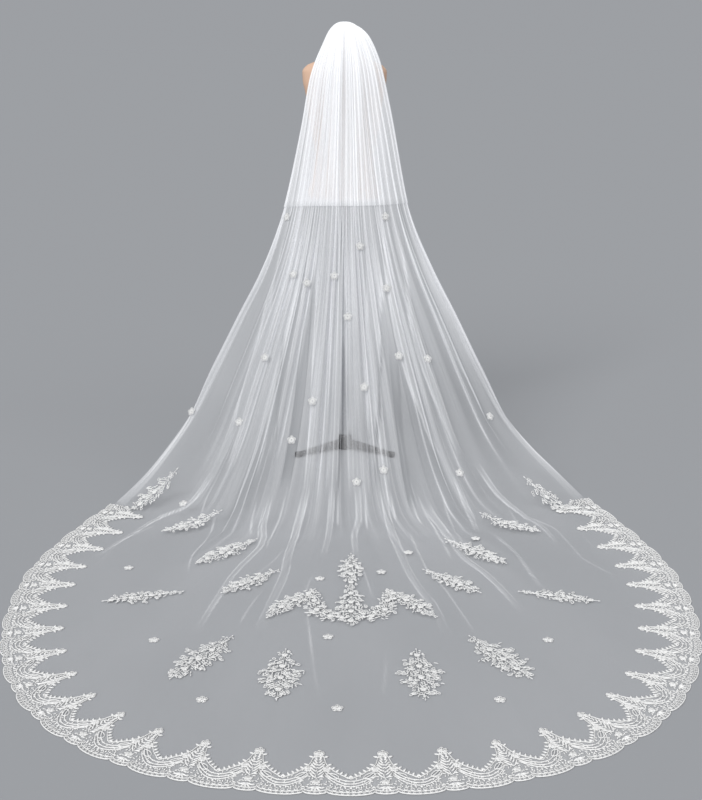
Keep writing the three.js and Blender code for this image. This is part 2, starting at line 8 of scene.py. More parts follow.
import bpy
import numpy as np
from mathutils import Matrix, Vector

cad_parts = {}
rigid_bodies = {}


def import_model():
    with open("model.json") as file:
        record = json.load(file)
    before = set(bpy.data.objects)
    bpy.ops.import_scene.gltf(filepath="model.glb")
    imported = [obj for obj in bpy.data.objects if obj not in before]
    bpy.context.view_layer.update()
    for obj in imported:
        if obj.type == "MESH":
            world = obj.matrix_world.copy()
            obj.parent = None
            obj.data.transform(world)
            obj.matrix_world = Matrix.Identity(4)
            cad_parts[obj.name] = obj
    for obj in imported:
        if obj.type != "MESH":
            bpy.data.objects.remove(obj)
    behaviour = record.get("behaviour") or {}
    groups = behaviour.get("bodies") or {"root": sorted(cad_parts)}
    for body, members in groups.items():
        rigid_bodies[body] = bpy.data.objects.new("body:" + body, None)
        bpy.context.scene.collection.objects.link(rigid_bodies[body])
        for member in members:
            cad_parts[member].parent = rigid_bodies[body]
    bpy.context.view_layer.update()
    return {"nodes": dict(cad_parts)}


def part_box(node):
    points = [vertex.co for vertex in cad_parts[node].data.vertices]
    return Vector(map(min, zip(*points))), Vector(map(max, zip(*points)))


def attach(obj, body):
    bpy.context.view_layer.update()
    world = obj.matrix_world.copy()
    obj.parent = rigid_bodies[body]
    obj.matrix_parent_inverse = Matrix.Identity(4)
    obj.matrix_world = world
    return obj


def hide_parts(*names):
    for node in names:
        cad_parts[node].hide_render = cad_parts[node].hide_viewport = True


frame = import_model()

scene = bpy.context.scene
MM = 0.001

# Sizes of the veil in metres, which are those of its solids
CLOTH_TOP = 0.0022
CLOTH_MIDDLE = 0.001
CROWN_HEIGHT = 1.733
CROWN_HALF_WIDTH = 0.045
CROWN_BACK = -0.060
TRAIN_AXIS_X = 0.025
CONTACT_HALF_WIDTH = 0.880
CONTACT_NEAR = -0.600
CONTACT_FAR = -0.985
CONTACT_POWER = 2.6
CONTACT_SKEW = 0.030
TRAIN_HALF_WIDTH = 1.060
WIDEST_Y = -1.290
HEM_LENGTH = 1.186
HEM_POWER = 2.35
CORNER_INSET = 0.160
CORNER_Y = -0.630
CORNER_POWER = 1.5
CORNER_FROM = 0.72
HEM_SETBACK = 0.015
SHORT_HEM = 0.229
SHORT_LIFT = 0.0045

# The long tier's flat width, which also counts the layers of both tiers and sets the width of their
# UV maps.
CUT_WIDTH = 2.3

# Share of the way out, then the share of the crown's height at the left, in the middle and at the right
SWEEP = np.array([
    [-0.020, 0.985, 0.985, 0.985],
    [-0.008, 0.988, 0.997, 0.989],
    [0.012, 0.979, 0.991, 0.985],
    [0.045, 0.949, 0.961, 0.974],
    [0.100, 0.885, 0.897, 0.921],
    [0.148, 0.768, 0.785, 0.822],
    [0.235, 0.592, 0.600, 0.600],
    [0.318, 0.477, 0.475, 0.487],
    [0.438, 0.371, 0.345, 0.371],
    [0.562, 0.261, 0.225, 0.249],
    [0.674, 0.166, 0.125, 0.155],
    [0.789, 0.095, 0.052, 0.092],
    [0.886, 0.045, 0.014, 0.050],
    [1.000, 0.000, 0.000, 0.000],
])

# Share of the way out, then the depth of the folds, how far the cloth winds in the main folds and in
# the fine ones, both in radians
GATHERS = np.array([
    [-0.02, 0.001, 0.60, 0.50],
    [0.00, 0.002, 1.30, 0.60],
    [0.03, 0.004, 1.55, 0.60],
    [0.09, 0.008, 1.75, 0.60],
    [0.20, 0.014, 1.95, 0.46],
    [0.35, 0.022, 2.00, 0.24],
    [0.55, 0.026, 2.00, 0.14],
    [0.80, 0.016, 1.80, 0.10],
    [0.90, 0.011, 1.60, 0.08],
    [1.00, 0.008, 1.30, 0.06],
    [1.15, 0.006, 0.90, 0.03],
    [1.35, 0.004, 0.50, 0.00],
    [1.70, 0.001, 0.20, 0.00],
    [2.00, 0.000, 0.00, 0.00],
])

# The folds from left to right: how far out each one still shows
FOLD_REACH = np.array([
    1.30, 1.45, 1.20, 1.62, 1.15, 1.35, 1.55, 1.10, 1.40, 1.25, 1.70, 1.30, 1.15,
    1.50, 1.20, 1.65, 1.30, 1.12, 1.55, 1.72, 1.25, 1.40, 1.15, 1.60, 1.20, 1.35,
])
FOLD_COUNT = len(FOLD_REACH)
COLUMNS_PER_FOLD = 24

# The same folds: where each one begins and ends down the fall, as a share across, and how tightly it
# is closed below the short tier, from 1 for one that doubles over to 0 for flat cloth
FOLD_EDGES = np.array([
    -1.000, -0.955, -0.840, -0.760, -0.700, -0.630, -0.580, -0.530, -0.430, -0.320, -0.235, -0.150, -0.085,
    -0.020, 0.040, 0.100, 0.160, 0.250, 0.320, 0.470, 0.550, 0.590, 0.670, 0.800, 0.880, 0.955, 1.000,
])
FOLD_CLOSE = np.array([
    0.60, 0.25, 0.70, 0.25, 0.80, 0.35, 1.00, 0.75, 0.20, 0.45, 0.68, 0.45, 0.80,
    0.36, 0.66, 0.40, 0.70, 0.40, 0.20, 0.85, 0.45, 0.80, 0.25, 0.90, 0.25, 0.60,
])

# Distances from the hem, in metres: the cloth is flat within the first, and its folds are whole from
# the second on
FLAT_FROM, FLAT_TO = 0.260, 0.480

# Shares of the way out: over how much of it a fold dies away before its reach, between which rows the
# folds close, and between which rows their spacing grows uneven and grows even again
FOLD_FADE = 0.45
CLOSING_ROWS = (0.14, 0.36)
UNEVEN_FROM = (0.05, 0.25)
UNEVEN_UNTIL = (0.75, 1.2)

# Layers of cloth that count at a point: the least and most that the folds give, and the least in all
FOLD_LAYERS = (0.8, 30)
LEAST_LAYERS = 0.35

# Rows down each tier: start, end and number of rows, closest over the crown and, on the long tier,
# where the cloth comes down on the floor
LONG_STRETCHES = [(-0.02, 0.05, 8), (0.05, 0.25, 14), (0.25, 0.8, 30), (0.8, 1.3, 47), (1.3, 2.0, 57)]
SHORT_STRETCHES = [(-0.02, 0.05, 12), (0.05, SHORT_HEM, 26)]

# How each tier is folded: the least that its cloth counts as facing out, and its winding as a share of
# the gathers'. Then the short tier's depth as a share of the gathers', and by how much the long tier's
# folds are flatter where the short one covers them.
LONG_FOLDS = dict(edge_on=0.3, winding=1.0)
SHORT_FOLDS = dict(edge_on=0.9, winding=0.8)
SHORT_DEPTH = 0.3
FLATTER_UNDER_SHORT = 0.65

# Density of the net, as a multiple of what its layers give: how much more the upper fall has
# and down to where, the short tier's own, and how much thinner that is at its sides and at its hem
UPPER_FALL_MORE = 0.3
UPPER_FALL_END = 0.60
SHORT_DENSITY = 3.2
SHORT_THINNER_AT_SIDES = 0.5
SHORT_THINNER_AT_HEM = 0.5

# Creases that run down the fall and out over the train: the half width in millimetres, how many
# layers of cloth the crease adds (or, in a trough, takes away), and the places that it passes, by the
# share across and the share out
CREASES = [
    (15, 1.9, [(-0.527, 0.234), (-0.491, 0.320), (-0.480, 0.421), (-0.462, 0.520), (-0.474, 0.720)]),
    (30, 1.8, [(-0.261, 0.234), (-0.236, 0.391), (-0.214, 0.515), (-0.203, 0.605), (-0.190, 0.820)]),
    (21, 1.8, [(-0.085, 0.250), (-0.088, 0.330), (-0.074, 0.445), (-0.070, 0.800)]),
    (36, 1.6, [(0.060, 0.260), (0.062, 0.367), (0.048, 0.463), (0.038, 0.604), (0.032, 0.820)]),
    (25, 1.8, [(0.354, 0.260), (0.278, 0.369), (0.218, 0.464), (0.183, 0.588), (0.162, 0.790)]),
    (13, 1.9, [(0.598, 0.240), (0.526, 0.343), (0.492, 0.451), (0.502, 0.500), (0.550, 0.740)]),
    (12, 1.9, [(0.719, 0.240), (0.656, 0.348), (0.606, 0.471), (0.620, 0.584), (0.631, 0.740)]),
    (3, 1.7, [(-0.555, 0.300), (-0.553, 0.430), (-0.550, 0.524), (-0.530, 0.780)]),
    (12, 2.0, [(-0.664, 0.236), (-0.660, 0.319), (-0.666, 0.410), (-0.660, 0.500), (-0.646, 0.780)]),
    (9, 1.6, [(-0.864, 0.245), (-0.828, 0.328), (-0.767, 0.438), (-0.755, 0.526), (-0.716, 0.700)]),
    (3, 1.4, [(0.857, 0.280), (0.855, 0.357), (0.830, 0.480), (0.858, 0.634), (0.867, 0.780)]),
    (5, -1.6, [(-0.021, 0.420), (-0.026, 0.545), (-0.034, 0.633), (-0.044, 0.790)]),
    (6, -1.4, [(0.300, 0.420), (0.214, 0.568), (0.146, 0.671), (0.110, 0.790)]),
    (16, -1.0, [(-0.449, 0.300), (-0.366, 0.448), (-0.330, 0.589), (-0.328, 0.800)]),
    (13, -1.0, [(0.400, 0.440), (0.343, 0.545), (0.301, 0.721), (0.291, 0.880)]),
    (9, -0.9, [(-0.600, 0.400), (-0.530, 0.560), (-0.458, 0.700)]),
    (6, 1.3, [(-0.988, 0.20), (-0.986, 0.60), (-0.982, 0.98)]),
    (3, 2.2, [(0.994, 0.20), (0.994, 0.98)]),
    (10, 1.9, [(-0.716, 0.770), (-0.734, 0.912), (-0.785, 1.002), (-0.748, 1.269), (-0.690, 1.593)]),
    (3, 1.6, [(-0.685, 0.796), (-0.681, 0.839), (-0.646, 0.936)]),
    (3, 1.6, [(-0.752, 1.059), (-0.726, 1.365), (-0.630, 1.606)]),
    (3.5, 2.4, [(-0.604, 0.906), (-0.544, 1.090), (-0.500, 1.218), (-0.422, 1.325)]),
    (4, 1.6, [(-0.489, 0.804), (-0.468, 0.895), (-0.405, 1.002)]),
    (11, 1.5, [(-0.405, 0.800), (-0.380, 0.899), (-0.310, 1.090), (-0.311, 1.181), (-0.292, 1.360),
               (-0.269, 1.548)]),
    (3, 2.0, [(-0.436, 0.819), (-0.410, 0.902), (-0.333, 1.049)]),
    (3.5, 1.7, [(-0.203, 1.289), (-0.208, 1.383), (-0.206, 1.470)]),
    (3, 1.8, [(-0.318, 0.780), (-0.312, 0.904), (-0.307, 1.002), (-0.279, 1.086)]),
    (15, 1.6, [(-0.216, 0.760), (-0.226, 0.880), (-0.220, 0.978), (-0.194, 1.111), (-0.172, 1.208),
               (-0.167, 1.294), (-0.162, 1.500)]),
    (3, 1.2, [(-0.235, 1.035), (-0.229, 1.091), (-0.251, 1.230)]),
    (11, 1.5, [(-0.066, 0.740), (-0.068, 0.975), (-0.073, 1.120)]),
    (3.5, 2.4, [(-0.042, 0.760), (-0.040, 0.930)]),
    (3, 1.4, [(-0.073, 1.161), (-0.090, 1.216), (-0.094, 1.284), (-0.083, 1.360), (-0.051, 1.600)]),
    (11, 1.5, [(0.030, 0.740), (0.029, 0.865), (0.009, 0.996), (0.012, 1.120)]),
    (3, 1.6, [(0.010, 1.080), (0.028, 1.184), (0.044, 1.340)]),
    (3, 1.8, [(0.060, 0.760), (0.049, 0.960)]),
    (14, 1.7, [(0.162, 0.740), (0.153, 0.894), (0.149, 1.050), (0.147, 1.164), (0.156, 1.286),
               (0.168, 1.381), (0.163, 1.520)]),
    (3, 2.0, [(0.204, 0.760), (0.196, 0.900)]),
    (3.5, 1.9, [(0.238, 0.960), (0.214, 1.123), (0.206, 1.193), (0.219, 1.310), (0.216, 1.540)]),
    (3, 1.5, [(0.298, 0.780), (0.296, 0.940)]),
    (3.5, 2.4, [(0.333, 0.780), (0.344, 0.927), (0.292, 1.180)]),
    (13, 1.6, [(0.363, 0.820), (0.376, 0.975), (0.340, 1.169), (0.349, 1.269), (0.333, 1.500)]),
    (3, 1.7, [(0.502, 0.800), (0.439, 0.988), (0.385, 1.100)]),
    (10, 1.6, [(0.581, 0.740), (0.555, 0.912), (0.520, 1.040)]),
    (7, 1.8, [(0.559, 1.040), (0.525, 1.210), (0.468, 1.363), (0.441, 1.450)]),
    (11, 1.6, [(0.693, 0.740), (0.703, 0.897), (0.719, 1.018), (0.643, 1.320)]),
    (4, 1.8, [(0.732, 0.980), (0.728, 1.161), (0.664, 1.366), (0.631, 1.470), (0.623, 1.680)]),
    (3, 1.3, [(0.699, 0.900), (0.665, 1.010)]),
    (3, 1.3, [(0.771, 1.340), (0.694, 1.520)]),
    (4, 0.8, [(-0.076, 1.396), (-0.039, 1.720)]),
    (4, 0.8, [(0.055, 1.540), (0.039, 1.720)]),
]

# A crease's height is a share of its half width. Its layers are its own number times CREASE_LAYERS, all
# of them along its rims and a share inside, and one narrower than NARROW_CREASE has a single rim.
CREASE_RISE = 0.3
CREASE_LAYERS = 1.35
CREASE_INSIDE = 0.5
NARROW_CREASE = 5 * MM
RIM_INSET = 2.5 * MM
RIM_WIDTH = 2.6 * MM

# A crease begins over this share of the way out, and ends over this share of its own length
CREASE_START = 0.09
CREASE_END = 0.22


def unit(vectors):
    """Each vector over its own length."""
    return vectors / np.linalg.norm(vectors, axis=-1, keepdims=True)


def ease(value, low, high):
    """0 below low and 1 above high, with the cubic 3 t t - 2 t t t between them."""
    t = np.clip((value - low) / (high - low), 0, 1)
    return t * t * (3 - 2 * t)


def smooth_rows(table, at):
    """The table's columns at the given keys, on a curve that overshoots no row. Between two rows it is
    the cubic whose slope at a row is the harmonic mean of the slopes on either side, or none at a peak."""
    keys, rows = table[:, 0], table[:, 1:]
    step = np.diff(keys)[:, None]
    slope = np.diff(rows, axis=0) / step
    before, after = slope[:-1], slope[1:]
    same_way = before * after > 0
    total = np.where(same_way, before + after, 1.0)
    inner = np.where(same_way, 2 * before * after / total, 0.0)
    tangent = np.vstack([slope[:1], inner, slope[-1:]])
    row = np.clip(np.searchsorted(keys, at, side="right") - 1, 0, len(keys) - 2)
    t = np.clip((at - keys[row]) / step[row, 0], 0, 1)[..., None]
    start = (1 + 2 * t) * (1 - t) ** 2 * rows[row] + t * (1 - t) ** 2 * step[row] * tangent[row]
    end = t * t * (3 - 2 * t) * rows[row + 1] - t * t * (1 - t) * step[row] * tangent[row + 1]
    return start + end


def half_hem():
    """Half of the lace's outer edge, from the middle of the hem: a superellipse up to the widest line,
    then a power curve in to the corner. Returns x, y and the length run so far."""
    turn = np.linspace(0, math.pi / 2, 241)
    low_x = TRAIN_HALF_WIDTH * np.sin(turn) ** (2 / HEM_POWER)
    low_y = WIDEST_Y - HEM_LENGTH * np.abs(np.cos(turn)) ** (2 / HEM_POWER)
    share = np.linspace(0, 1, 121)[1:]
    x = np.append(low_x, TRAIN_HALF_WIDTH - CORNER_INSET * share ** CORNER_POWER)
    y = np.append(low_y, WIDEST_Y + (CORNER_Y - WIDEST_Y) * share)
    run = np.append(0, np.cumsum(np.hypot(np.diff(x), np.diff(y))))
    return x, y, run


HEM_X, HEM_Y, HEM_RUN = half_hem()
HALF_HEM = HEM_RUN[-1]


def outline(share, inward=0.0):
    """A plan point of the lace's outer edge, from -1 at the left corner to 1 at the right one, moved
    inward at a right angle to the edge."""
    share = np.clip(share, -1, 1)

    def edge(place):
        run = np.abs(place) * HALF_HEM
        way = np.where(place < 0, -1.0, 1.0)
        turned = np.clip((np.abs(place) - CORNER_FROM) / (1 - CORNER_FROM), 0, 1) ** CORNER_POWER
        x = way * np.interp(run, HEM_RUN, HEM_X)
        y = np.interp(run, HEM_RUN, HEM_Y) + way * CONTACT_SKEW * turned
        return np.stack([TRAIN_AXIS_X + x, y], -1)

    step = 0.004
    along = unit(edge(np.minimum(share + step, 1)) - edge(np.maximum(share - step, -1)))
    to_inside = np.stack([-along[..., 1], along[..., 0]], -1)
    return edge(share) + to_inside * np.asarray(inward)[..., None]


def crowd(across):
    """The folds crowd and part: a slow wave and a quick one are added to the place across."""
    return across + 0.02 * np.sin(3 * math.pi * across) + 0.011 * np.sin(7 * math.pi * across)


def contact_y(place):
    """How far back the cloth meets the floor, bowed out in the middle."""
    bow = (CONTACT_FAR - CONTACT_NEAR) * (1 - np.abs(place) ** CONTACT_POWER)
    return CONTACT_NEAR + bow + CONTACT_SKEW * place


def sweep_height(place, out):
    """Height of the cloth: the sweep table's middle column, with its side columns mixed in by the
    cube of the place across."""
    rows = smooth_rows(SWEEP, np.minimum(out, 1))
    edge = np.where(place < 0, rows[..., 0], rows[..., 2])
    share = np.minimum(np.abs(place), 1) ** 3
    return CROWN_HEIGHT * ((1 - share) * rows[..., 1] + share * edge)


def envelope(across, out):
    """The smooth outer face of the long tier: straight in plan from the crown to the floor as out goes
    from 0 to 1, then straight to the hem as it goes to 2, with the height of the sweep."""
    across, out = np.broadcast_arrays(across, out)
    place = crowd(across)
    hanging = np.minimum(out, 1)
    lying = np.maximum(out - 1, 0)[..., None]
    x = CROWN_HALF_WIDTH * place * (1 - hanging) + (TRAIN_AXIS_X + CONTACT_HALF_WIDTH * place) * hanging
    y = CROWN_BACK * (1 - hanging) + contact_y(place) * hanging
    plan = np.stack([x, y], -1) * (1 - lying) + outline(across, HEM_SETBACK) * lying
    return np.concatenate([plan, (CLOTH_TOP + sweep_height(place, out))[..., None]], -1)


def envelope_normal(across, out):
    """The envelope's outward normal, from small steps either way."""
    step = 0.002
    over = envelope(np.minimum(across + step, 1), out) - envelope(np.maximum(across - step, -1), out)
    down = envelope(across, out + step) - envelope(across, out - step)
    return unit(np.cross(down, over))


def reach_over(x, y):
    """Share across and share out that lie under a plan point, by halving the range of out 40 times."""
    low, high = np.full(np.shape(x), -0.05), np.full(np.shape(x), 3.0)

    def place_at(out):
        width = CROWN_HALF_WIDTH * (1 - out) + CONTACT_HALF_WIDTH * out
        return np.clip((x - TRAIN_AXIS_X * out) / width, -1, 1)

    for _ in range(40):
        out = (low + high) / 2
        beyond = CROWN_BACK + out * (contact_y(place_at(out)) - CROWN_BACK) > y
        low, high = np.where(beyond, out, low), np.where(beyond, high, out)
    out = (low + high) / 2
    return place_at(out), out


# How far the lace stands off the long tier: a share of the height above the floor, a little more until
# the folds have died down on the floor, and a hair's breadth everywhere
SLACK_SHARE = 0.03
FOLD_SLACK = 0.0025
SLACK_ROWS = (1.02, 1.3)
LACE_GAP = 0.0003


def over_plan(x, y, lift):
    """A point that lies on the long tier over a plan point, as the lace's solids do."""
    place, out = reach_over(x, y)
    height = sweep_height(place, out)
    slack = SLACK_SHARE * height + FOLD_SLACK * (1 - ease(out, *SLACK_ROWS))
    return np.stack([x, y, CLOTH_TOP + height + slack + LACE_GAP + lift], -1)


def hem_distance(plan):
    """Distance in plan to the nearest of a row of points along the hem."""
    share = np.linspace(-1, 1, 161)
    hem = outline(share)
    gap = plan[..., None, :] - hem
    return np.sqrt((gap ** 2).sum(-1).min(-1))


def fine_turns(cloth):
    """Turns of the fine gathers over the cloth's width, closer in some places than in others."""
    return 71 * cloth + 1.3 * np.sin(10 * math.pi * cloth) + 0.9 * np.sin(22 * math.pi * cloth + 1)


# A fold that winds less than this, in columns, isn't drawn out to its whole depth
LEAST_RISE = 0.6


def wind(cloth, edges, main, fine):
    """The cloth's way in and out of its folds. Its heading swings by main radians once a fold and by
    fine radians more often; summed up, its cosine gives the way across and its sine the way out.
    Returns the place across, between the edges of each fold, and the height in the fold as a share
    of its depth."""
    turns = FOLD_COUNT * cloth
    slow = main * np.sin(2 * math.pi * turns)
    heading = slow + fine * np.sin(2 * math.pi * fine_turns(cloth))
    shape = (main.shape[0], FOLD_COUNT, COLUMNS_PER_FOLD)

    def within_folds(values):
        return np.cumsum(((values[:, 1:] + values[:, :-1]) / 2).reshape(shape), -1)

    ahead = within_folds(np.cos(heading))
    ahead /= ahead[..., -1:]
    across = edges[:, :-1, None] + np.diff(edges)[..., None] * ahead
    rise = within_folds(np.sin(heading))
    rise -= rise[..., -1:] * (np.arange(COLUMNS_PER_FOLD) + 1) / COLUMNS_PER_FOLD
    tallest = np.maximum(within_folds(np.sin(slow)).max(-1, keepdims=True), LEAST_RISE)
    first = np.full((main.shape[0], 1), -1.0)
    across = np.hstack([first, across.reshape(main.shape[0], -1)])
    rise = np.hstack([first * 0, (rise / tallest).reshape(main.shape[0], -1)])
    return across, rise


def fold_strength(cloth):
    """Each fold's own share of the depth, as on its solid."""
    fold = np.minimum(np.floor(cloth * FOLD_COUNT), FOLD_COUNT - 1)
    return 0.6 + 0.4 * np.abs(np.sin(2.3 * fold + 1))


def crease_shape(across, out):
    """Height of the creases over the cloth around them, and the layers that they add. A crease is a
    ridge (1 - g g) squared, where g is the distance from its line over its half width; a trough is the
    same, turned down. The cloth turns back along both rims, so the layers rise most there, by the bell
    curve exp(- r r) of the distance r from the rim over its width, and by a share inside. A narrow one
    has a single rim. Both ends fade."""
    step = 0.002
    over = envelope(across + step, out) - envelope(across - step, out)
    span = np.linalg.norm(over, axis=-1) / (2 * step)
    height, added = np.zeros(out.shape), np.zeros(out.shape)
    for half_width, strength, places in CREASES:
        line = np.array(places)[:, ::-1]
        gap = np.abs(across - smooth_rows(line, out)[..., 0]) * span
        start, end = line[0, 0], line[-1, 0]
        fade = ease(out, start, start + CREASE_START)
        fade = fade * (1 - ease(out, end - CREASE_END * (end - start), end))
        half = half_width * MM
        ridge = np.clip(1 - (gap / half) ** 2, 0, 1) ** 2
        height += math.copysign(CREASE_RISE, strength) * half * ridge * fade
        rim = np.exp(-(((gap - max(half - RIM_INSET, 0)) / RIM_WIDTH) ** 2))
        inside = (half > NARROW_CREASE) * CREASE_INSIDE * (gap < half)
        added += CREASE_LAYERS * strength * fade * (rim + inside)
    return height, added


def tier_points(rows, depth_share, lift, edge_on, winding):
    """A tier's cloth: a winding path at every row, laid over the envelope and moved out by the folds
    and creases. Returns the points and how many layers of cloth count at each. That is the flat
    width of the cloth between two columns over the distance between them, divided by how far the cloth
    faces out (at least edge_on), so that it counts for more where it stands on edge."""
    columns = FOLD_COUNT * COLUMNS_PER_FOLD
    cloth = np.arange(columns + 1) / columns
    out = rows[:, None] + 0 * cloth
    plan = envelope(2 * cloth - 1, out)[..., :2]
    fold = np.minimum(np.floor(cloth * FOLD_COUNT), FOLD_COUNT - 1).astype(int)
    fade = ease(hem_distance(plan), FLAT_FROM, FLAT_TO)
    fade = fade * (1 - ease(out, FOLD_REACH[fold] - FOLD_FADE, FOLD_REACH[fold]))
    gathers = smooth_rows(GATHERS, out)
    own = fold_strength(cloth)
    close = 1 + (FOLD_CLOSE[fold] - 1) * ease(out, *CLOSING_ROWS)
    even = np.linspace(-1, 1, FOLD_COUNT + 1)
    uneven = ease(rows, *UNEVEN_FROM) * (1 - ease(rows, *UNEVEN_UNTIL))
    edges = even + uneven[:, None] * (FOLD_EDGES - even)
    main = winding * gathers[..., 1] * close * fade ** 0.5
    across, rise = wind(cloth, edges, main, winding * gathers[..., 2] * fade)
    ridge, added = crease_shape(across, out)
    height = gathers[..., 0] * own * rise * fade * depth_share[:, None] + ridge + lift
    points = envelope(across, out) + envelope_normal(across, out) * height[..., None]
    run = np.maximum(np.linalg.norm(np.diff(points, axis=1), axis=-1), 1e-6)
    facing = np.linalg.norm(np.diff(envelope(across, out), axis=1), axis=-1) / run
    stacked = CUT_WIDTH / columns / run
    layers = np.clip(stacked, *FOLD_LAYERS) / np.clip(facing, edge_on, 1)
    layers = np.hstack([layers[:, :1], (layers[:, 1:] + layers[:, :-1]) / 2, layers[:, -1:]])
    return points, np.maximum(layers + added, LEAST_LAYERS)


def grid_quads(rows, columns):
    """Corner numbers of the quads of a grid, turned so that they face the way of its outer side."""
    corner = np.arange(rows * columns).reshape(rows, columns)
    quads = [corner[:-1, :-1], corner[1:, :-1], corner[1:, 1:], corner[:-1, 1:]]
    return np.stack(quads, -1).reshape(-1, 4)


def add_piece(name, points, quads, triangles=None, uv=None, layers=None):
    """A mesh object at the origin from arrays of points and faces, with its own UV map in metres and
    an attribute that says how many layers of cloth lie at a point."""
    mesh = bpy.data.meshes.new(name)
    triangles = np.zeros((0, 3), int) if triangles is None else triangles
    corners = np.concatenate([quads.ravel(), triangles.ravel()]).astype(np.int32)
    sizes = np.concatenate([np.full(len(quads), 4), np.full(len(triangles), 3)])
    starts = np.append(0, np.cumsum(sizes)[:-1]).astype(np.int32)
    mesh.vertices.add(len(points))
    mesh.vertices.foreach_set("co", points.astype(np.float32).ravel())
    mesh.loops.add(len(corners))
    mesh.loops.foreach_set("vertex_index", corners)
    mesh.polygons.add(len(sizes))
    mesh.polygons.foreach_set("loop_start", starts)
    mesh.polygons.foreach_set("use_smooth", np.ones(len(sizes), bool))
    if uv is not None:
        layer = mesh.uv_layers.new(name="cut")
        layer.data.foreach_set("uv", uv[corners].astype(np.float32).ravel())
    if layers is not None:
        attribute = mesh.attributes.new("layers", "FLOAT", "POINT")
        attribute.data.foreach_set("value", layers.astype(np.float32).ravel())
    mesh.update(calc_edges=True)
    mesh.validate()
    piece = bpy.data.objects.new(name, mesh)
    scene.collection.objects.link(piece)
    return piece


def settle(piece, finish, slot, *nodes):
    """Gives a piece its finish and its body, and hides the solids that it stands for; slot is not used."""
    piece.data.materials.append(finish)
    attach(piece, "root")
    if nodes:
        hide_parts(*nodes)
    return piece


# Finishes

def new_material(name, colour, roughness, **sockets):
    """A plain surface shader with uniform values on its own sockets."""
    material = bpy.data.materials.new(name)
    material.use_nodes = True
    shader = material.node_tree.nodes["Principled BSDF"]
    shader.inputs["Base Color"].default_value = (*colour, 1)
    shader.inputs["Roughness"].default_value = roughness
    for socket, value in sockets.items():
        shader.inputs[socket.replace("_", " ")].default_value = value
    return material, shader


def node(material, kind, **settings):
    """A shader node with its settings and unlinked inputs."""
    made = material.node_tree.nodes.new("ShaderNode" + kind)
    for key, value in settings.items():
        if key.startswith("in_"):
            made.inputs[key[3:].replace("_", " ")].default_value = value
        else:
            setattr(made, key, value)
    return made


def link(material, source, target):
    """Joins an output socket to an input socket."""
    material.node_tree.links.new(source, target)


def on_piece(material):
    """The coordinates of a point on its own piece."""
    return node(material, "TexCoord").outputs["Object"]


def on_cut(material):
    """The coordinates of a point on the piece's UV map, in metres."""
    return node(material, "UVMap", uv_map="cut").outputs[0]


def maths(material, operation, first, second):
    """One sum on two inputs, each of which is a socket or a number."""
    made = node(material, "Math", operation=operation)
    for socket, value in zip(made.inputs, (first, second)):
        if isinstance(value, (int, float)):
            socket.default_value = value
        else:
            link(material, value, socket)
    return made.outputs[0]


def spread(material, value, low, high, new_low, new_high):
    """A value carried from one range to another and kept inside it."""
    made = node(material, "MapRange")
    link(material, value, made.inputs["Value"])
    for key, number in zip(("From Min", "From Max", "To Min", "To Max"), (low, high, new_low, new_high)):
        made.inputs[key].default_value = number
    return made.outputs[0]


def stretched(material, coordinates, scale):
    """Coordinates times a scale of their own for each axis."""
    made = node(material, "Mapping")
    link(material, coordinates, made.inputs["Vector"])
    made.inputs["Scale"].default_value = scale
    return made.outputs[0]


def noise(material, coordinates, scale, detail):
    """Cloudy noise from 0 to 1 over the coordinates."""
    made = node(material, "TexNoise", in_Scale=scale, in_Detail=detail)
    link(material, coordinates, made.inputs["Vector"])
    return made.outputs[0]


def raise_bump(material, shader, height, strength, distance):
    """Fine relief from a height, on the shader's own normal."""
    made = node(material, "Bump", in_Strength=strength, in_Distance=distance)
    link(material, height, made.inputs["Height"])
    link(material, made.outputs[0], shader.inputs["Normal"])


def tint(material, shader, value, dark, light):
    """The base colour, mixed between two by a value."""
    made = node(material, "Mix", data_type="RGBA")
    link(material, value, made.inputs[0])
    made.inputs[6].default_value = (*dark, 1)
    made.inputs[7].default_value = (*light, 1)
    link(material, made.outputs[2], shader.inputs["Base Color"])


def net_material(name, one_layer, cell, colour):
    """A soft net. One layer hides one_layer of what is behind it, and n layers hide
    1 - (1 - one_layer) to the power n. n is the layers attribute times a fine mesh of cells, times
    broad uneven patches, and times long streaks, which show most where the gathers bunch the threads."""
    material, shader = new_material(
        name, colour, 0.85, Sheen_Weight=0.25, Sheen_Roughness=0.5, Specular_IOR_Level=0.2)
    cut = on_cut(material)
    layers = node(material, "Attribute", attribute_name="layers").outputs["Fac"]
    grain = noise(material, stretched(material, cut, (90, 1.6, 1)), 1, 3)
    bunched = spread(material, layers, 1, 4, 0.2, 1.0)
    clouds = noise(material, stretched(material, cut, (4, 1.5, 1)), 1, 2)
    uneven = spread(material, clouds, 0.35, 0.65, 0.75, 1.3)
    streaks = maths(material, "MULTIPLY", spread(material, grain, 0.3, 0.7, -0.45, 0.5), bunched)
    cells = node(material, "TexVoronoi", feature="DISTANCE_TO_EDGE", voronoi_dimensions="2D")
    link(material, stretched(material, cut, (1 / cell, 1 / cell, 1)), cells.inputs["Vector"])
    cells.inputs["Scale"].default_value = 1
    threads = spread(material, cells.outputs[0], 0.05, 0.2, 1.9, 0.55)
    gathered = maths(material, "MULTIPLY", layers, maths(material, "ADD", 1.0, streaks))
    bunches = maths(material, "MULTIPLY", gathered, uneven)
    amount = maths(material, "MULTIPLY", bunches, threads)
    hidden = maths(material, "SUBTRACT", 1.0, maths(material, "POWER", 1 - one_layer, amount))
    link(material, hidden, shader.inputs["Alpha"])
    raise_bump(material, shader, threads, 0.15, 0.0003)
    return material


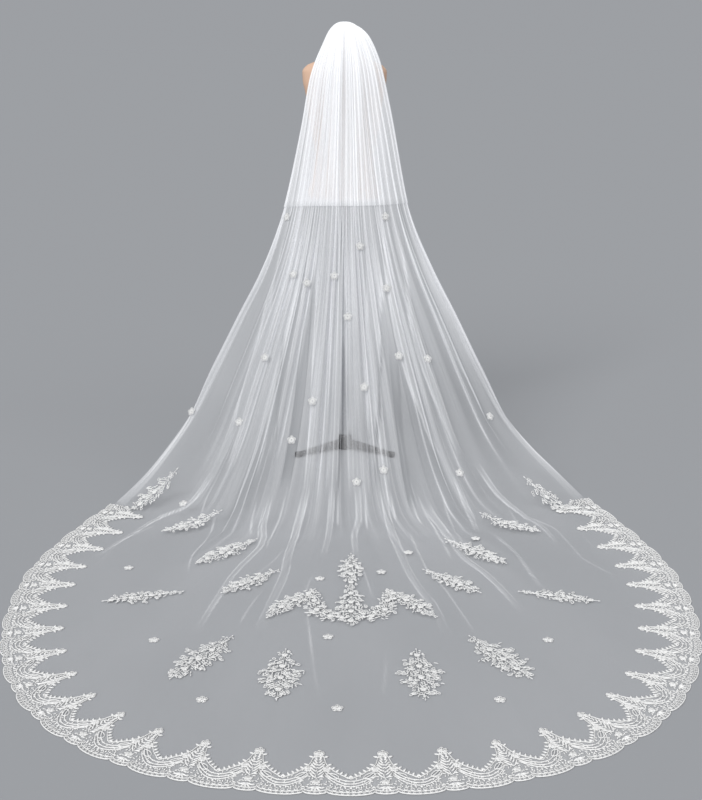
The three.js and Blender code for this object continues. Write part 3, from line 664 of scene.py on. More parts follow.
def thread_material():
    """Corded and satin-stitched lace: fine stitches across each thread, along its own length."""
    material, shader = new_material("lace thread", (0.95, 0.95, 0.94), 0.55, Sheen_Weight=0.3)
    cut = on_cut(material)
    stitches = node(material, "TexWave", wave_type="BANDS", bands_direction="X", in_Scale=1.0)
    stitches.inputs["Distortion"].default_value = 1.5
    link(material, stretched(material, cut, (260, 1, 1)), stitches.inputs["Vector"])
    place = on_piece(material)
    worn = noise(material, place, 60, 3)
    tint(material, shader, worn, (0.91, 0.91, 0.90), (0.98, 0.98, 0.97))
    raise_bump(material, shader, stitches.outputs[1], 0.6, 0.0006)
    return material


def skin_material():
    """Matt peach shell of the form, with a little mottling and a fine orange-peel surface."""
    material, shader = new_material("form shell", (0.72, 0.48, 0.34), 0.55)
    place = on_piece(material)
    tint(material, shader, noise(material, place, 9, 4), (0.68, 0.44, 0.31), (0.76, 0.53, 0.39))
    raise_bump(material, shader, noise(material, place, 900, 2), 0.12, 0.0004)
    return material


def wood_material():
    """Turned and stained wood: rings of growth stretched along the grain."""
    material, shader = new_material("cap wood", (0.10, 0.05, 0.03), 0.4, Coat_Weight=0.2)
    place = stretched(material, on_piece(material), (14, 90, 40))
    grain = noise(material, place, 1, 6)
    growth = spread(material, grain, 0.35, 0.65, 0, 1)
    tint(material, shader, growth, (0.045, 0.022, 0.012), (0.16, 0.085, 0.045))
    raise_bump(material, shader, grain, 0.25, 0.0004)
    return material


def ribbon_material():
    """Satin ribbon with fine ribs."""
    material, shader = new_material("satin ribbon", (0.88, 0.86, 0.82), 0.38, Sheen_Weight=0.4)
    place = on_piece(material)
    ribs = node(material, "TexWave", wave_type="BANDS", bands_direction="X", in_Scale=420.0)
    link(material, place, ribs.inputs["Vector"])
    raise_bump(material, shader, ribs.outputs[1], 0.3, 0.0003)
    tint(material, shader, noise(material, place, 120, 2), (0.82, 0.80, 0.76), (0.92, 0.91, 0.88))
    return material


def steel_material():
    """Polished wire with faint drawn lines."""
    material, shader = new_material("comb steel", (0.62, 0.63, 0.65), 0.28, Metallic=1.0)
    place = stretched(material, on_piece(material), (2500, 60, 60))
    lines = noise(material, place, 1, 2)
    link(material, spread(material, lines, 0.3, 0.7, 0.2, 0.4), shader.inputs["Roughness"])
    raise_bump(material, shader, lines, 0.1, 0.0002)
    return material


def coat_material():
    """Black powder coat on steel: a fine orange peel, duller in patches."""
    material, shader = new_material("powder coat", (0.012, 0.012, 0.014), 0.42)
    place = on_piece(material)
    patches = noise(material, place, 22, 4)
    link(material, spread(material, patches, 0.35, 0.7, 0.36, 0.58), shader.inputs["Roughness"])
    raise_bump(material, shader, noise(material, place, 1400, 2), 0.2, 0.0003)
    return material


def floor_material():
    """Plain pale floor."""
    return new_material("studio floor", FLOOR_COLOUR, 1.0, Specular_IOR_Level=0.0)[0]


# Threads of the lace: drawn flat, in metres, and carried to their place by a map

# Stations of a leaf: how far along it, and its half width and rise there as shares of the most
LEAF_ALONG = np.array([0.0, 0.3, 0.68, 1.0])
LEAF_WIDTH = np.array([0.30, 1.0, 0.85, 0.15])
LEAF_RISE = np.array([0.5, 1.0, 1.0, 0.4])


def strands(paths, half_width, rise, closed):
    """Raised threads. Each path of plan points carries a three-cornered section: left and right corners
    half a width to either side, and a top corner at the rise. A closed path joins its end to its start."""
    ahead = np.roll(paths, -1, 1) - np.roll(paths, 1, 1)
    if not closed:
        ahead[:, 0] = paths[:, 1] - paths[:, 0]
        ahead[:, -1] = paths[:, -1] - paths[:, -2]
    ahead = unit(ahead)
    width = np.broadcast_to(half_width, paths.shape[:2])
    side = np.stack([-ahead[..., 1], ahead[..., 0]], -1) * width[..., None]
    top = np.broadcast_to(rise, paths.shape[:2])
    none = np.zeros(paths.shape[:2])
    corners = [
        np.concatenate([paths + side, none[..., None]], -1),
        np.concatenate([paths, top[..., None]], -1),
        np.concatenate([paths - side, none[..., None]], -1),
    ]
    points = np.stack(corners, 2)
    count, stations = paths.shape[:2]
    number = np.arange(count * stations * 3).reshape(count, stations, 3)
    here = number if closed else number[:, :-1]
    there = np.roll(number, -1, 1) if closed else number[:, 1:]
    quads = np.stack([here, np.roll(here, -1, 2), np.roll(there, -1, 2), there], -1).reshape(-1, 4)
    triangles = np.zeros((0, 3), int)
    if not closed:
        triangles = np.concatenate([number[:, 0][:, [0, 2, 1]], number[:, -1]])
    step = np.linalg.norm(np.diff(paths, axis=1), axis=-1)
    run = np.concatenate([none[:, :1], np.cumsum(step, 1)], 1)
    uv = np.stack(np.broadcast_arrays(run[..., None], np.array([0.0, 0.5, 1.0]) * 0.004), -1)
    return points.reshape(-1, 3), quads, triangles, uv.reshape(-1, 2)


def join(parts):
    """One set of points, quads, triangles and UV from several."""
    offsets = np.append(0, np.cumsum([len(part[0]) for part in parts])[:-1])
    points = np.concatenate([part[0] for part in parts])
    quads = np.concatenate([part[1] + offset for part, offset in zip(parts, offsets)])
    triangles = np.concatenate([part[2] + offset for part, offset in zip(parts, offsets)])
    return points, quads, triangles, np.concatenate([part[3] for part in parts])


def repeated(part, copies):
    """A part's faces and UV for a number of copies whose points lie one after another."""
    shift = (np.arange(copies) * len(part[0]))[:, None, None]
    quads = (part[1][None] + shift).reshape(-1, 4)
    triangles = (part[2][None] + shift).reshape(-1, 3)
    return quads, triangles, np.tile(part[3], (copies, 1))


def leaves(base, heading, length, half_width, rise, bend=0.0):
    """Plump leaves: four stations from base to tip, on a path that turns by bend."""
    base = np.atleast_2d(base)
    heading, length, half_width, bend = (
        np.broadcast_to(value, len(base))[:, None] for value in (heading, length, half_width, bend)
    )
    turn = heading + bend * LEAF_ALONG
    run = length * LEAF_ALONG
    path = base[:, None] + np.stack([run * np.cos(turn), run * np.sin(turn)], -1)
    return strands(path, half_width * LEAF_WIDTH, rise * LEAF_RISE, False)


def loops(base, heading, length, half_width, thread, rise, stations=8):
    """Corded outlines of leaves: a closed thread that runs out along one side and back along the
    other, as far as the length along the heading and half_width to each side."""
    base = np.atleast_2d(base)
    heading, length, half_width = (
        np.broadcast_to(value, len(base))[:, None] for value in (heading, length, half_width)
    )
    turn = 2 * math.pi * np.arange(stations) / stations
    out = length * (0.5 - 0.5 * np.cos(turn))
    aside = half_width * np.sin(turn) * (1 - 0.25 * np.cos(turn))
    x = out * np.cos(heading) - aside * np.sin(heading)
    y = out * np.sin(heading) + aside * np.cos(heading)
    return strands(base[:, None] + np.stack([x, y], -1), thread, rise, True)


def rings(centre, radius, thread, rise, stations=8):
    """Closed round threads."""
    centre = np.atleast_2d(centre)
    radius = np.broadcast_to(radius, len(centre))[:, None]
    turn = 2 * math.pi * np.arange(stations) / stations
    circle = np.stack([radius * np.cos(turn), radius * np.sin(turn)], -1)
    return strands(centre[:, None] + circle, thread, rise, True)


def cord(points, thread, rise):
    """One thread along a line of plan points."""
    return strands(np.asarray(points)[None], thread, rise, False)


PETALS = 5


def roses(centre, radius, thread, rise):
    """Small roses: petals in a ring, each a leaf in a corded outline, round a ring in the middle."""
    centre = np.atleast_2d(centre)
    radius = np.broadcast_to(radius, len(centre))
    turn = 2 * math.pi * np.arange(PETALS) / PETALS + 0.3
    way = np.stack([np.cos(turn), np.sin(turn)], -1)
    base = (centre[:, None] + 0.22 * radius[:, None, None] * way).reshape(-1, 2)
    heading = np.tile(turn, len(centre))
    size = np.repeat(radius, PETALS)
    return join([
        leaves(base, heading, 0.70 * size, 0.20 * size, rise),
        loops(base, heading, 0.78 * size, 0.36 * size, thread, rise),
        rings(centre, 0.22 * radius, thread, 1.5 * rise, 6),
    ])


# The lace edge: one repeat is measured along the hem from the middle of a spike, and inward

LACE_REPEATS = 30
REPEAT = 2 * HALF_HEM / LACE_REPEATS
HALF_REPEAT = REPEAT / 2
FAN_HALF = 28 * MM
LACE_SINK = 0.8 * MM
EYE = dict(along=0.23 * REPEAT, inward=78 * MM, half_length=17 * MM, half_width=9 * MM, tilt=0.55)
INNER = np.array([[0.000, 183], [0.075, 168], [0.125, 138], [0.220, 114], [0.340, 95], [0.500, 76]])
SPIKES = (2 * np.arange(LACE_REPEATS) + 1) / LACE_REPEATS - 1

# The hanging curves: how far each one reaches, how much it rises on the way, and where its lowest
# place lies, all in metres inward
HANG_WIDTH = 64 * MM
HANG_DROP = 46 * MM
HANG_STARTS = np.array([36, 46, 57]) * MM

# Threads: half width and rise
OUTER_CORD = (2.2 * MM, 2.2 * MM)
SECOND_CORD = (1.5 * MM, 1.8 * MM)
INNER_CORD = (1.6 * MM, 2.0 * MM)
HANGING_CORD = (1.9 * MM, 2.0 * MM)
STEM_CORD = (1.2 * MM, 1.6 * MM)
EYE_RIM = (1.8 * MM, 2.0 * MM)
PICOT = (1.0 * MM, 1.6 * MM)
PEARL = (1.3 * MM, 1.8 * MM)

# Leaves: length, half width and rise
FAN_LEAF = (21 * MM, 3.6 * MM, 2.2 * MM)
BUD_LEAF = (13 * MM, 4.0 * MM, 2.3 * MM)
TOOTH_LEAF = (9 * MM, 2.6 * MM, 1.9 * MM)
FILLING_LEAF = (9 * MM, 2.1 * MM, 1.8 * MM)
STEM_END_LEAF = (9 * MM, 2.6 * MM, 2.0 * MM)

# Roses: radius, half width of the thread, and rise
TIP_ROSE = (15 * MM, 1.3 * MM, 2.2 * MM)
FOOT_ROSE = (10 * MM, 1.2 * MM, 2.0 * MM)
SIDE_ROSE = (11 * MM, 1.2 * MM, 2.0 * MM)
STEM_ROSE = (9 * MM, 1.1 * MM, 2.2 * MM)
FLOWER = (15.5 * MM, 1.3 * MM, 1.3 * MM)


def lace_outer(along):
    """Scalloped outer edge: a small round fan under the spike and a wide round lobe on either side."""
    reach = np.abs(along)
    fan = 5 * MM + 10 * MM * (1 - np.sqrt(1 - 0.97 * np.clip(reach / FAN_HALF, 0, 1) ** 2))
    wide = np.clip((HALF_REPEAT - reach) / (HALF_REPEAT - FAN_HALF), 0, 1)
    lobe = 15 * MM * (1 - np.sqrt(1 - 0.97 * wide ** 2))
    return np.where(reach < FAN_HALF, fan, lobe)


def lace_inner(along):
    """Inner edge: low between the spikes, and up each side of a spike to its tip."""
    table = np.column_stack([INNER[:, 0] * REPEAT, INNER[:, 1] * MM])
    return smooth_rows(table, np.abs(along))[..., 0]


def spike_half_width(inward):
    """Half the width of the lace at a distance inward, the other way round from lace_inner."""
    along = np.linspace(0, HALF_REPEAT, 80)
    return np.interp(-inward, -lace_inner(along), along)


def both_sides(draw):
    """What draw makes on the right of a spike, and the same on the left."""
    return [draw(1.0), draw(-1.0)]


def side_of(along, inward, side):
    """Plan points to one side of the spike."""
    return np.stack(np.broadcast_arrays(side * np.asarray(along), inward), -1)


def lace_cords():
    """Corded lines of one repeat: twin outer edges with rings between, three hanging curves between
    the spikes, a line along the inner edge, rings in the lobes, and the rims of the eyes."""
    along = np.linspace(-HALF_REPEAT, HALF_REPEAT, 43)
    outer = lace_outer(along)
    picots = (np.arange(13) + 0.5) / 13 * REPEAT - HALF_REPEAT
    picots = side_of(picots, lace_outer(picots) + 7.6 * MM, 1)
    pearls = np.linspace(FAN_HALF + 2 * MM, HALF_REPEAT - 7 * MM, 4)
    parts = [
        cord(side_of(along, outer + 2.2 * MM, 1), *OUTER_CORD),
        cord(side_of(along, outer + 13 * MM, 1), *SECOND_CORD),
        cord(side_of(along, lace_inner(along) - 10 * MM, 1), *INNER_CORD),
        rings(picots, 3.0 * MM, *PICOT, 6),
    ]

    def draw(side):
        hang = np.linspace(0, HANG_WIDTH, 13)
        sag = HANG_DROP * (hang / HANG_WIDTH) ** 2
        curves = [
            cord(side_of(HALF_REPEAT - hang, start + sag, side)[::-1], *HANGING_CORD)
            for start in HANG_STARTS
        ]
        curves.append(rings(side_of(pearls, lace_outer(pearls) + 20 * MM, side), 4.6 * MM, *PEARL))
        heading = -side * EYE["tilt"]
        start = np.array([side * EYE["along"], EYE["inward"]])
        start = start - EYE["half_length"] * np.array([math.cos(heading), math.sin(heading)])
        curves.append(loops(start, heading, 2 * EYE["half_length"], EYE["half_width"], *EYE_RIM, 12))
        return join(curves)

    return join(parts + both_sides(draw))


def lace_leaves():
    """Satin-stitched leaves of one repeat: a fan of petals under the spike, leaves up both sides of
    it like a palm, a flower at its tip, buds along the inner edge, a comb of small leaves in each
    lobe, and roses."""
    fan = np.radians([-90, -56, -124, -22, -158])
    parts = [
        leaves(np.tile([[0, 36 * MM]], (5, 1)), fan, *FAN_LEAF),
        roses([[0, 168 * MM]], *TIP_ROSE),
        roses([[0, 52 * MM]], *FOOT_ROSE),
    ]
    height = np.arange(70, 152, 12.5) * MM

    def draw(side):
        room = np.clip(spike_half_width(height + 8 * MM) - 4 * MM, 7 * MM, 30 * MM)
        base = side_of(np.full(len(height), 2.0 * MM), height, side)
        palm = leaves(base, math.pi / 2 - side * 0.95, room, 3.1 * MM, 2.2 * MM, side * 0.35)
        place = np.linspace(14 * MM, HALF_REPEAT - 5 * MM, 7)
        slope = np.gradient(lace_inner(place), place)
        normal = np.arctan2(1, -slope)
        heading = normal if side > 0 else math.pi - normal
        buds = leaves(side_of(place, lace_inner(place) - 9 * MM, side), heading, *BUD_LEAF)
        lobe = np.linspace(FAN_HALF + 3 * MM, HALF_REPEAT - 5 * MM, 5)
        base = side_of(lobe + 4 * MM, lace_outer(lobe) + 27 * MM, side)
        teeth = leaves(base, math.pi / 2, *TOOTH_LEAF)
        rose = roses([[side * 24 * MM, 106 * MM]], *SIDE_ROSE)
        return join([palm, buds, teeth, rose])

    return join(parts + both_sides(draw))


def lace_filling():
    """Small leaves that fill the ground of one repeat: a staggered grid, shaken a little, kept inside
    the lace and off the eyes."""
    shake = np.random.default_rng(11)
    across, inward = np.meshgrid(np.arange(-75, 76, 12) * MM, np.arange(32, 170, 11) * MM)
    across = across + 6 * MM * (np.arange(across.shape[0]) % 2)[:, None]
    spot = np.stack([across, inward], -1).reshape(-1, 2) + shake.uniform(-3, 3, (across.size, 2)) * MM
    heading = shake.uniform(0, math.pi, len(spot))
    along, inward = spot.T
    in_lace = (inward < lace_inner(along) - 12 * MM) & (inward > lace_outer(along) + 22 * MM)
    clear = in_lace & ~in_eye(along, inward, 1.5) & (np.abs(along) < HALF_REPEAT - 4 * MM)
    return leaves(spot[clear], heading[clear], *FILLING_LEAF, bend=0.5)


def in_eye(along, inward, size=1.0):
    """Whether a point of a repeat lies in one of its two tilted oval eyes."""
    side = np.where(along < 0, -1.0, 1.0)
    x, y = side * along - EYE["along"], inward - EYE["inward"]
    turn = -EYE["tilt"]
    long = (x * math.cos(turn) + y * math.sin(turn)) / (size * EYE["half_length"])
    short = (-x * math.sin(turn) + y * math.cos(turn)) / (size * EYE["half_width"])
    return long ** 2 + short ** 2 < 1


def border_place(local):
    """Carries points of one repeat to every repeat along the hem, on top of the tulle."""
    share = SPIKES[:, None] + local[:, 0] / HALF_HEM
    plan = outline(share, np.broadcast_to(local[:, 1], share.shape))
    return over_plan(plan[..., 0], plan[..., 1], local[:, 2] - LACE_SINK).reshape(-1, 3)


def add_border(name, part, finish):
    """A piece of the lace edge from what is drawn for one repeat."""
    quads, triangles, uv = repeated(part, LACE_REPEATS)
    piece = add_piece(name, border_place(part[0]), quads, triangles, uv)
    return settle(piece, finish, "lace", "lace_border")


def add_border_ground(finish):
    """The fine net that the lace is worked on: a grid between the two edges of every repeat, with the
    eyes left open."""
    columns, rows = 48, 26
    along = np.linspace(-HALF_REPEAT, HALF_REPEAT, columns + 1)
    share = np.linspace(0, 1, rows + 1)[:, None]
    inward = lace_outer(along) * (1 - share) + lace_inner(along) * share
    local = np.stack([np.broadcast_to(along, inward.shape), inward, 0 * inward], -1)
    middle = (local[1:, 1:] + local[:-1, :-1]) / 2
    keep = ~in_eye(middle[..., 0], middle[..., 1]).ravel()
    quads = grid_quads(rows + 1, columns + 1)[keep][:, ::-1]
    flat = local.reshape(-1, 3)
    part = (flat, quads, np.zeros((0, 3), int), flat[:, :2])
    all_quads, none, uv = repeated(part, LACE_REPEATS)
    points = border_place(flat)
    used = np.unique(all_quads)
    number = np.zeros(len(points), int)
    number[used] = np.arange(len(used))
    one_layer = np.ones(len(used))
    piece = add_piece("lace_edge_ground", points[used], number[all_quads], none, uv[used], one_layer)
    return settle(piece, finish, "lace", "lace_border")


# Sprays, centre motif and flowers

# Along a spray from 0 to 1, and its half width as a share of the widest
SPRAY_EDGE = np.array([
    [0.00, 0.00], [0.07, 0.34], [0.16, 0.22], [0.27, 0.72], [0.36, 0.50], [0.47, 1.00],
    [0.57, 0.66], [0.68, 0.88], [0.78, 0.46], [0.88, 0.56], [1.00, 0.05],
])

# Name, near end and far end from the train's middle line, half width and lift over the folds, in
# millimetres, for the right side; the left one is its mirror image
SPRAYS = [
    ("corner", (655, -612), (812, -722), 48, 3),
    ("shoulder", (469, -830), (658, -946), 44, 11),
    ("waist", (328, -1015), (508, -1207), 50, 8),
    ("inner", (239, -1256), (402, -1422), 46, 5),
    ("outer", (531, -1415), (760, -1481), 42, 4),
    ("lower", (346, -1709), (487, -1946), 62, 2),
    ("hem", (185, -1789), (195, -2055), 66, 2),
]

# The stems of the centre motif's right half: points from the train's middle line, each with the half
# width of the garland there, in millimetres
MOTIF_STEMS = [
    [(0, -1134, 5), (0, -1180, 22), (0, -1235, 38), (0, -1290, 34), (0, -1345, 20), (0, -1400, 12)],
    [(0, -1400, 14), (0, -1450, 34), (0, -1520, 44), (0, -1580, 52), (0, -1640, 12)],
    [(34, -1596, 24), (82, -1578, 34), (108, -1535, 32), (114, -1475, 24), (118, -1410, 14)],
    [(116, -1405, 12), (142, -1446, 26), (178, -1484, 34), (214, -1528, 34), (250, -1592, 6)],
]
MOTIF_LIFT = 6 * MM

# Distance from leaf to leaf, from rose to rose and from lobe to lobe along a stem, the least half width
# of a garland that carries a rose, and the room that the leaves leave round one
PITCH = 9 * MM
ROSE_PITCH = 62 * MM
LOBE_PITCH = 38 * MM
ROSE_HALF_WIDTH = 18 * MM
ROSE_ROOM = 10 * MM
LOOPED_SHARE = 0.4


def garland(points, half_width, shake):
    """A leafy applique on a stem. Leaves stand beside the stem in lanes one pitch apart, staggered from
    lane to lane, wherever the garland is wide enough. Each leans out from the stem's own way, more
    so the farther out it stands. Some are small corded loops, and roses sit on the stem."""
    points, half_width = np.asarray(points, float), np.asarray(half_width, float)
    run = np.append(0, np.cumsum(np.linalg.norm(np.diff(points, axis=0), axis=1)))
    count = max(int(round(run[-1] / PITCH)), 4)

    def on_stem(at):
        behind, here, ahead = (
            np.stack([np.interp(at + step, run, points[:, i]) for i in (0, 1)], -1)
            for step in (-PITCH, 0, PITCH)
        )
        way = unit(ahead - behind)
        return here, np.arctan2(way[:, 1], way[:, 0]), np.stack([-way[:, 1], way[:, 0]], -1)

    lanes = np.arange(0.45, half_width.max() / PITCH, 1.0)
    step, lane, side = (grid.ravel() for grid in np.meshgrid(np.arange(count) + 0.5, lanes, [-1.0, 1.0]))
    at = (step + 0.25 * side + 0.5 * (np.floor(lane) % 2)) / count * run[-1]
    width = np.interp(at, run, half_width)
    spot, way, out_way = on_stem(at)
    spot = spot + out_way * (side * lane * PITCH)[:, None]
    spot = spot + shake.uniform(-1.4, 1.4, spot.shape) * MM
    rose_at = np.arange(0.5, run[-1] / ROSE_PITCH) * ROSE_PITCH
    rose_at = rose_at[np.interp(rose_at, run, half_width) > ROSE_HALF_WIDTH]
    centre = on_stem(rose_at)[0]
    from_roses = np.linalg.norm(spot[:, None] - centre, axis=-1).min(1, initial=1.0)
    lobe = 0.88 + 0.2 * np.sin(2 * math.pi * at / LOBE_PITCH + side)
    keep = (lane * PITCH < lobe * width - 0.2 * PITCH) & (at < run[-1]) & (from_roses > ROSE_ROOM)
    spot, way, side, lane, width = spot[keep], way[keep], side[keep], lane[keep], width[keep]
    heading = way + side * (0.8 + 0.4 * lane * PITCH / width) + shake.uniform(-1.0, 1.0, len(way))
    length = np.clip(0.45 * width, 9 * MM, 13 * MM) * shake.uniform(0.8, 1.2, len(way))
    looped = shake.random(len(way)) < LOOPED_SHARE
    ends, end_way, _ = on_stem(np.array([0.0, run[-1]]) + [1e-4, -1e-4])
    parts = [
        cord(on_stem(np.linspace(0, run[-1], count))[0], *STEM_CORD),
        leaves(spot[~looped], heading[~looped], length[~looped], 2.2 * MM, 1.7 * MM, -0.6 * side[~looped]),
        loops(spot[looped], heading[looped], length[looped], 3.8 * MM, 1.2 * MM, 1.5 * MM),
        leaves(ends, end_way + [math.pi, 0], *STEM_END_LEAF),
    ]
    if len(rose_at):
        parts.append(roses(centre, *STEM_ROSE))
    return join(parts)


def spray_piece(name, near, far, half_width, lift, side, finish, shake):
    """A spray drawn along its own stem, from its near end, and carried to the plan. On the left side
    it is drawn on the mirrored stem."""
    near = np.array([TRAIN_AXIS_X + side * near[0] * MM, near[1] * MM])
    far = np.array([TRAIN_AXIS_X + side * far[0] * MM, far[1] * MM])
    stem = near + (far - near) * SPRAY_EDGE[:, :1]
    points, quads, triangles, uv = garland(stem, SPRAY_EDGE[:, 1] * half_width * MM, shake)
    points = over_plan(points[:, 0], points[:, 1], points[:, 2] + lift * MM)
    word = "left" if side < 0 else "right"
    piece = add_piece(f"lace_spray_{name}_{word}", points, quads, triangles, uv)
    return settle(piece, finish, "lace", f"spray_{name}_{word}")


def motif_piece(finish, shake):
    """The centre motif: its middle stems once, and the stems of its right half on both sides."""
    parts = []
    for stem in MOTIF_STEMS:
        rows = np.array(stem) * MM
        for side in ((1,) if rows[0, 0] == 0 else (1, -1)):
            line = rows[:, :2] * [side, 1] + [TRAIN_AXIS_X, 0]
            parts.append(garland(line, rows[:, 2], shake))
    points, quads, triangles, uv = join(parts)
    points = over_plan(points[:, 0], points[:, 1], points[:, 2] + MOTIF_LIFT)
    piece = add_piece("lace_centre_motif", points, quads, triangles, uv)
    return settle(piece, finish, "lace", "centre_motif")


# A flower clears the cloth that lies no farther than this above or below its solid, by this gap
FOLD_ROOM = 45 * MM
FLOWER_GAP = 1.5 * MM


def flower_pieces(finish, cloth):
    """The small flowers: a rose in the plane of the cloth at the middle of each one's solid, moved out
    along the cloth's normal until it clears the folds under it."""
    names = sorted(name for name in frame["nodes"] if name.startswith("flower_"))
    drawn = roses([[0, 0]], *FLOWER)
    spot_radius = 1.6 * FLOWER[0]
    across, out = np.meshgrid(np.linspace(-1, 1, 241), np.linspace(0.1, 2, 241))
    face, normals = envelope(across, out), envelope_normal(across, out)
    placed = []
    for name in names:
        low, high = (np.array(corner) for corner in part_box(name))
        middle = (low + high) / 2
        nearest = np.unravel_index(((face - middle) ** 2).sum(-1).argmin(), across.shape)
        up = normals[nearest]
        gap = cloth - middle
        above = gap @ up
        aside = np.linalg.norm(gap - above[:, None] * up, axis=1)
        under = above[(aside < spot_radius) & (np.abs(above) < FOLD_ROOM)]
        lift = under.max() + FLOWER_GAP if len(under) else 0.0
        side = unit(np.array([1.0, 0, 0]) - up[0] * up)
        frame_axes = np.stack([side, np.cross(up, side), up])
        placed.append(middle + lift * up + drawn[0] @ frame_axes)
    quads, triangles, uv = repeated(drawn, len(names))
    piece = add_piece("lace_flowers", np.concatenate(placed), quads, triangles, uv)
    return settle(piece, finish, "lace", *names)


# The form and its stand

# Height, half width, and depth before and behind, from the top of the neck down
FORM_SECTIONS = np.array([
    [1.690, 0.054, 0.054, 0.052],
    [1.650, 0.054, 0.052, 0.052],
    [1.615, 0.066, 0.056, 0.058],
    [1.590, 0.108, 0.060, 0.062],
    [1.572, 0.148, 0.062, 0.062],
    [1.548, 0.165, 0.066, 0.066],
    [1.510, 0.163, 0.080, 0.076],
    [1.470, 0.154, 0.098, 0.082],
    [1.425, 0.147, 0.116, 0.084],
    [1.380, 0.144, 0.124, 0.080],
    [1.310, 0.130, 0.106, 0.072],
    [1.220, 0.116, 0.092, 0.066],
    [1.130, 0.132, 0.098, 0.080],
    [1.080, 0.146, 0.104, 0.088],
    [1.060, 0.142, 0.100, 0.084],
])
NECK_FILLET = 0.003
HIP_FILLET = 0.006

# The neck cap, the pole and the base, in metres
CAP = dict(radius=0.060, high=1.700, low=1.6903, fillet=0.003)
POLE_RADIUS = 0.015
POLE_FILLET = 0.001
HUB = dict(radius=0.028, high=0.058, low=0.0, fillet=0.003)
FOOT = dict(radius=0.015, high=0.020, low=0.0, fillet=0.003)
LEG_TURNS = (90, 210, 330)
LEG_REACH = 0.224
LEG_ENDS = (0.232, 0.010)
LEG_HALF_WIDTH = 0.012
LEG_UNDERSIDE = 0.006
LEG_TOP_AT_HUB, LEG_TOP_AT_FOOT = 0.048, 0.018


def closed_rings(ring_points):
    """A closed skin over rings of points, from the top ring down, with a fan to the middle of each end.
    Rings run anticlockwise seen from above."""
    count, sides = ring_points.shape[:2]
    number = np.arange(count * sides).reshape(count, sides)
    following = np.roll(number, -1, 1)
    quads = np.stack([number[:-1], number[1:], following[1:], following[:-1]], -1).reshape(-1, 4)
    top, bottom = count * sides, count * sides + 1
    fan = [np.stack([np.full(sides, top), number[0], following[0]], -1),
           np.stack([np.full(sides, bottom), following[-1], number[-1]], -1)]
    ends = np.stack([ring_points[0].mean(0), ring_points[-1].mean(0)])
    points = np.concatenate([ring_points.reshape(-1, 3), ends])
    return points, quads, np.concatenate(fan), np.zeros((len(points), 2))


def turned(profile, centre=(0.0, 0.0), sides=64):
    """A lathe-turned piece: rows of radius and height, from the top down, round an upright axis."""
    turn = 2 * math.pi * np.arange(sides) / sides
    radius, height = np.array(profile).T
    x = centre[0] + radius[:, None] * np.cos(turn)
    y = centre[1] + radius[:, None] * np.sin(turn)
    return closed_rings(np.stack([x, y, np.broadcast_to(height[:, None], x.shape)], -1))


def round_edge(radius, high, low, fillet):
    """Rows of radius and height down a disc's side, with its two edges rounded by a quarter circle."""
    turn = np.linspace(0, math.pi / 2, 5)
    upper = [(radius - fillet + fillet * math.sin(t), high - fillet + fillet * math.cos(t)) for t in turn]
    lower = [(radius - fillet + fillet * math.cos(t), low + fillet - fillet * math.sin(t)) for t in turn]
    return [(0.3 * radius, high)] + upper + lower + [(0.3 * radius, low)]


def form_piece(finish):
    """The form: its sections joined by smooth curves, each half an ellipse in front and half behind,
    with the two ends drawn in over rounded edges."""
    table = FORM_SECTIONS[::-1]
    top, bottom = table[-1, 0], table[0, 0]
    height = np.linspace(top - NECK_FILLET, bottom + HIP_FILLET, 150)
    rows = smooth_rows(table, height)
    neck_rows, hip_rows = smooth_rows(table, np.array([top, bottom]))
    over = np.linspace(0, math.pi / 2, 6)[:-1, None]
    under = over[::-1]
    height = np.concatenate([
        (top - NECK_FILLET + NECK_FILLET * np.cos(over))[:, 0],
        height,
        (bottom + HIP_FILLET - HIP_FILLET * np.cos(under))[:, 0],
    ])
    rows = np.concatenate([
        neck_rows - NECK_FILLET * (1 - np.sin(over)),
        rows,
        hip_rows - HIP_FILLET * (1 - np.sin(under)),
    ])
    turn = 2 * math.pi * np.arange(112) / 112
    depth = np.where(np.sin(turn) > 0, rows[:, 1:2], rows[:, 2:3])
    x = rows[:, :1] * np.cos(turn)
    points = np.stack([x, depth * np.sin(turn), np.broadcast_to(height[:, None], x.shape)], -1)
    body, quads, fans, uv = closed_rings(points)
    return settle(add_piece("form_shell", body, quads, fans, uv), finish, "skin", "dress_form")


def cap_piece(finish):
    """The neck cap: a turned disc with rounded edges."""
    part = turned(round_edge(**CAP), sides=96)
    return settle(add_piece("form_neck_cap", *part), finish, "cap", "neck_cap")


def pole_piece(finish):
    """The pole: a turned rod between the two ends of its solid."""
    low, high = (corner[2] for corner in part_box("stand_pole"))
    part = turned(round_edge(POLE_RADIUS, high, low, POLE_FILLET))
    return settle(add_piece("stand_tube", *part), finish, "steel", "stand_pole")


def squared(wave, power):
    """A sine or cosine to a power below 1, with its own sign, which squares an oval's corners."""
    return np.abs(wave) ** power * np.sign(wave)


def leg(degrees):
    """A leg: a rounded bar whose upper side slopes from the hub down to the foot."""
    turn = 2 * math.pi * (np.arange(24) + 0.5) / 24
    reach = np.linspace(*LEG_ENDS, 16)[:, None]
    top = LEG_TOP_AT_HUB - (LEG_TOP_AT_HUB - LEG_TOP_AT_FOOT) * reach / LEG_REACH
    half_height = (top - LEG_UNDERSIDE) / 2
    across = LEG_HALF_WIDTH * squared(np.cos(turn), 0.5) + 0 * reach
    up = LEG_UNDERSIDE + half_height + half_height * squared(np.sin(turn), 0.5)
    way = math.radians(degrees)
    x = reach * math.cos(way) + across * -math.sin(way)
    y = reach * math.sin(way) + across * math.cos(way)
    return closed_rings(np.stack([x, y, up], -1))


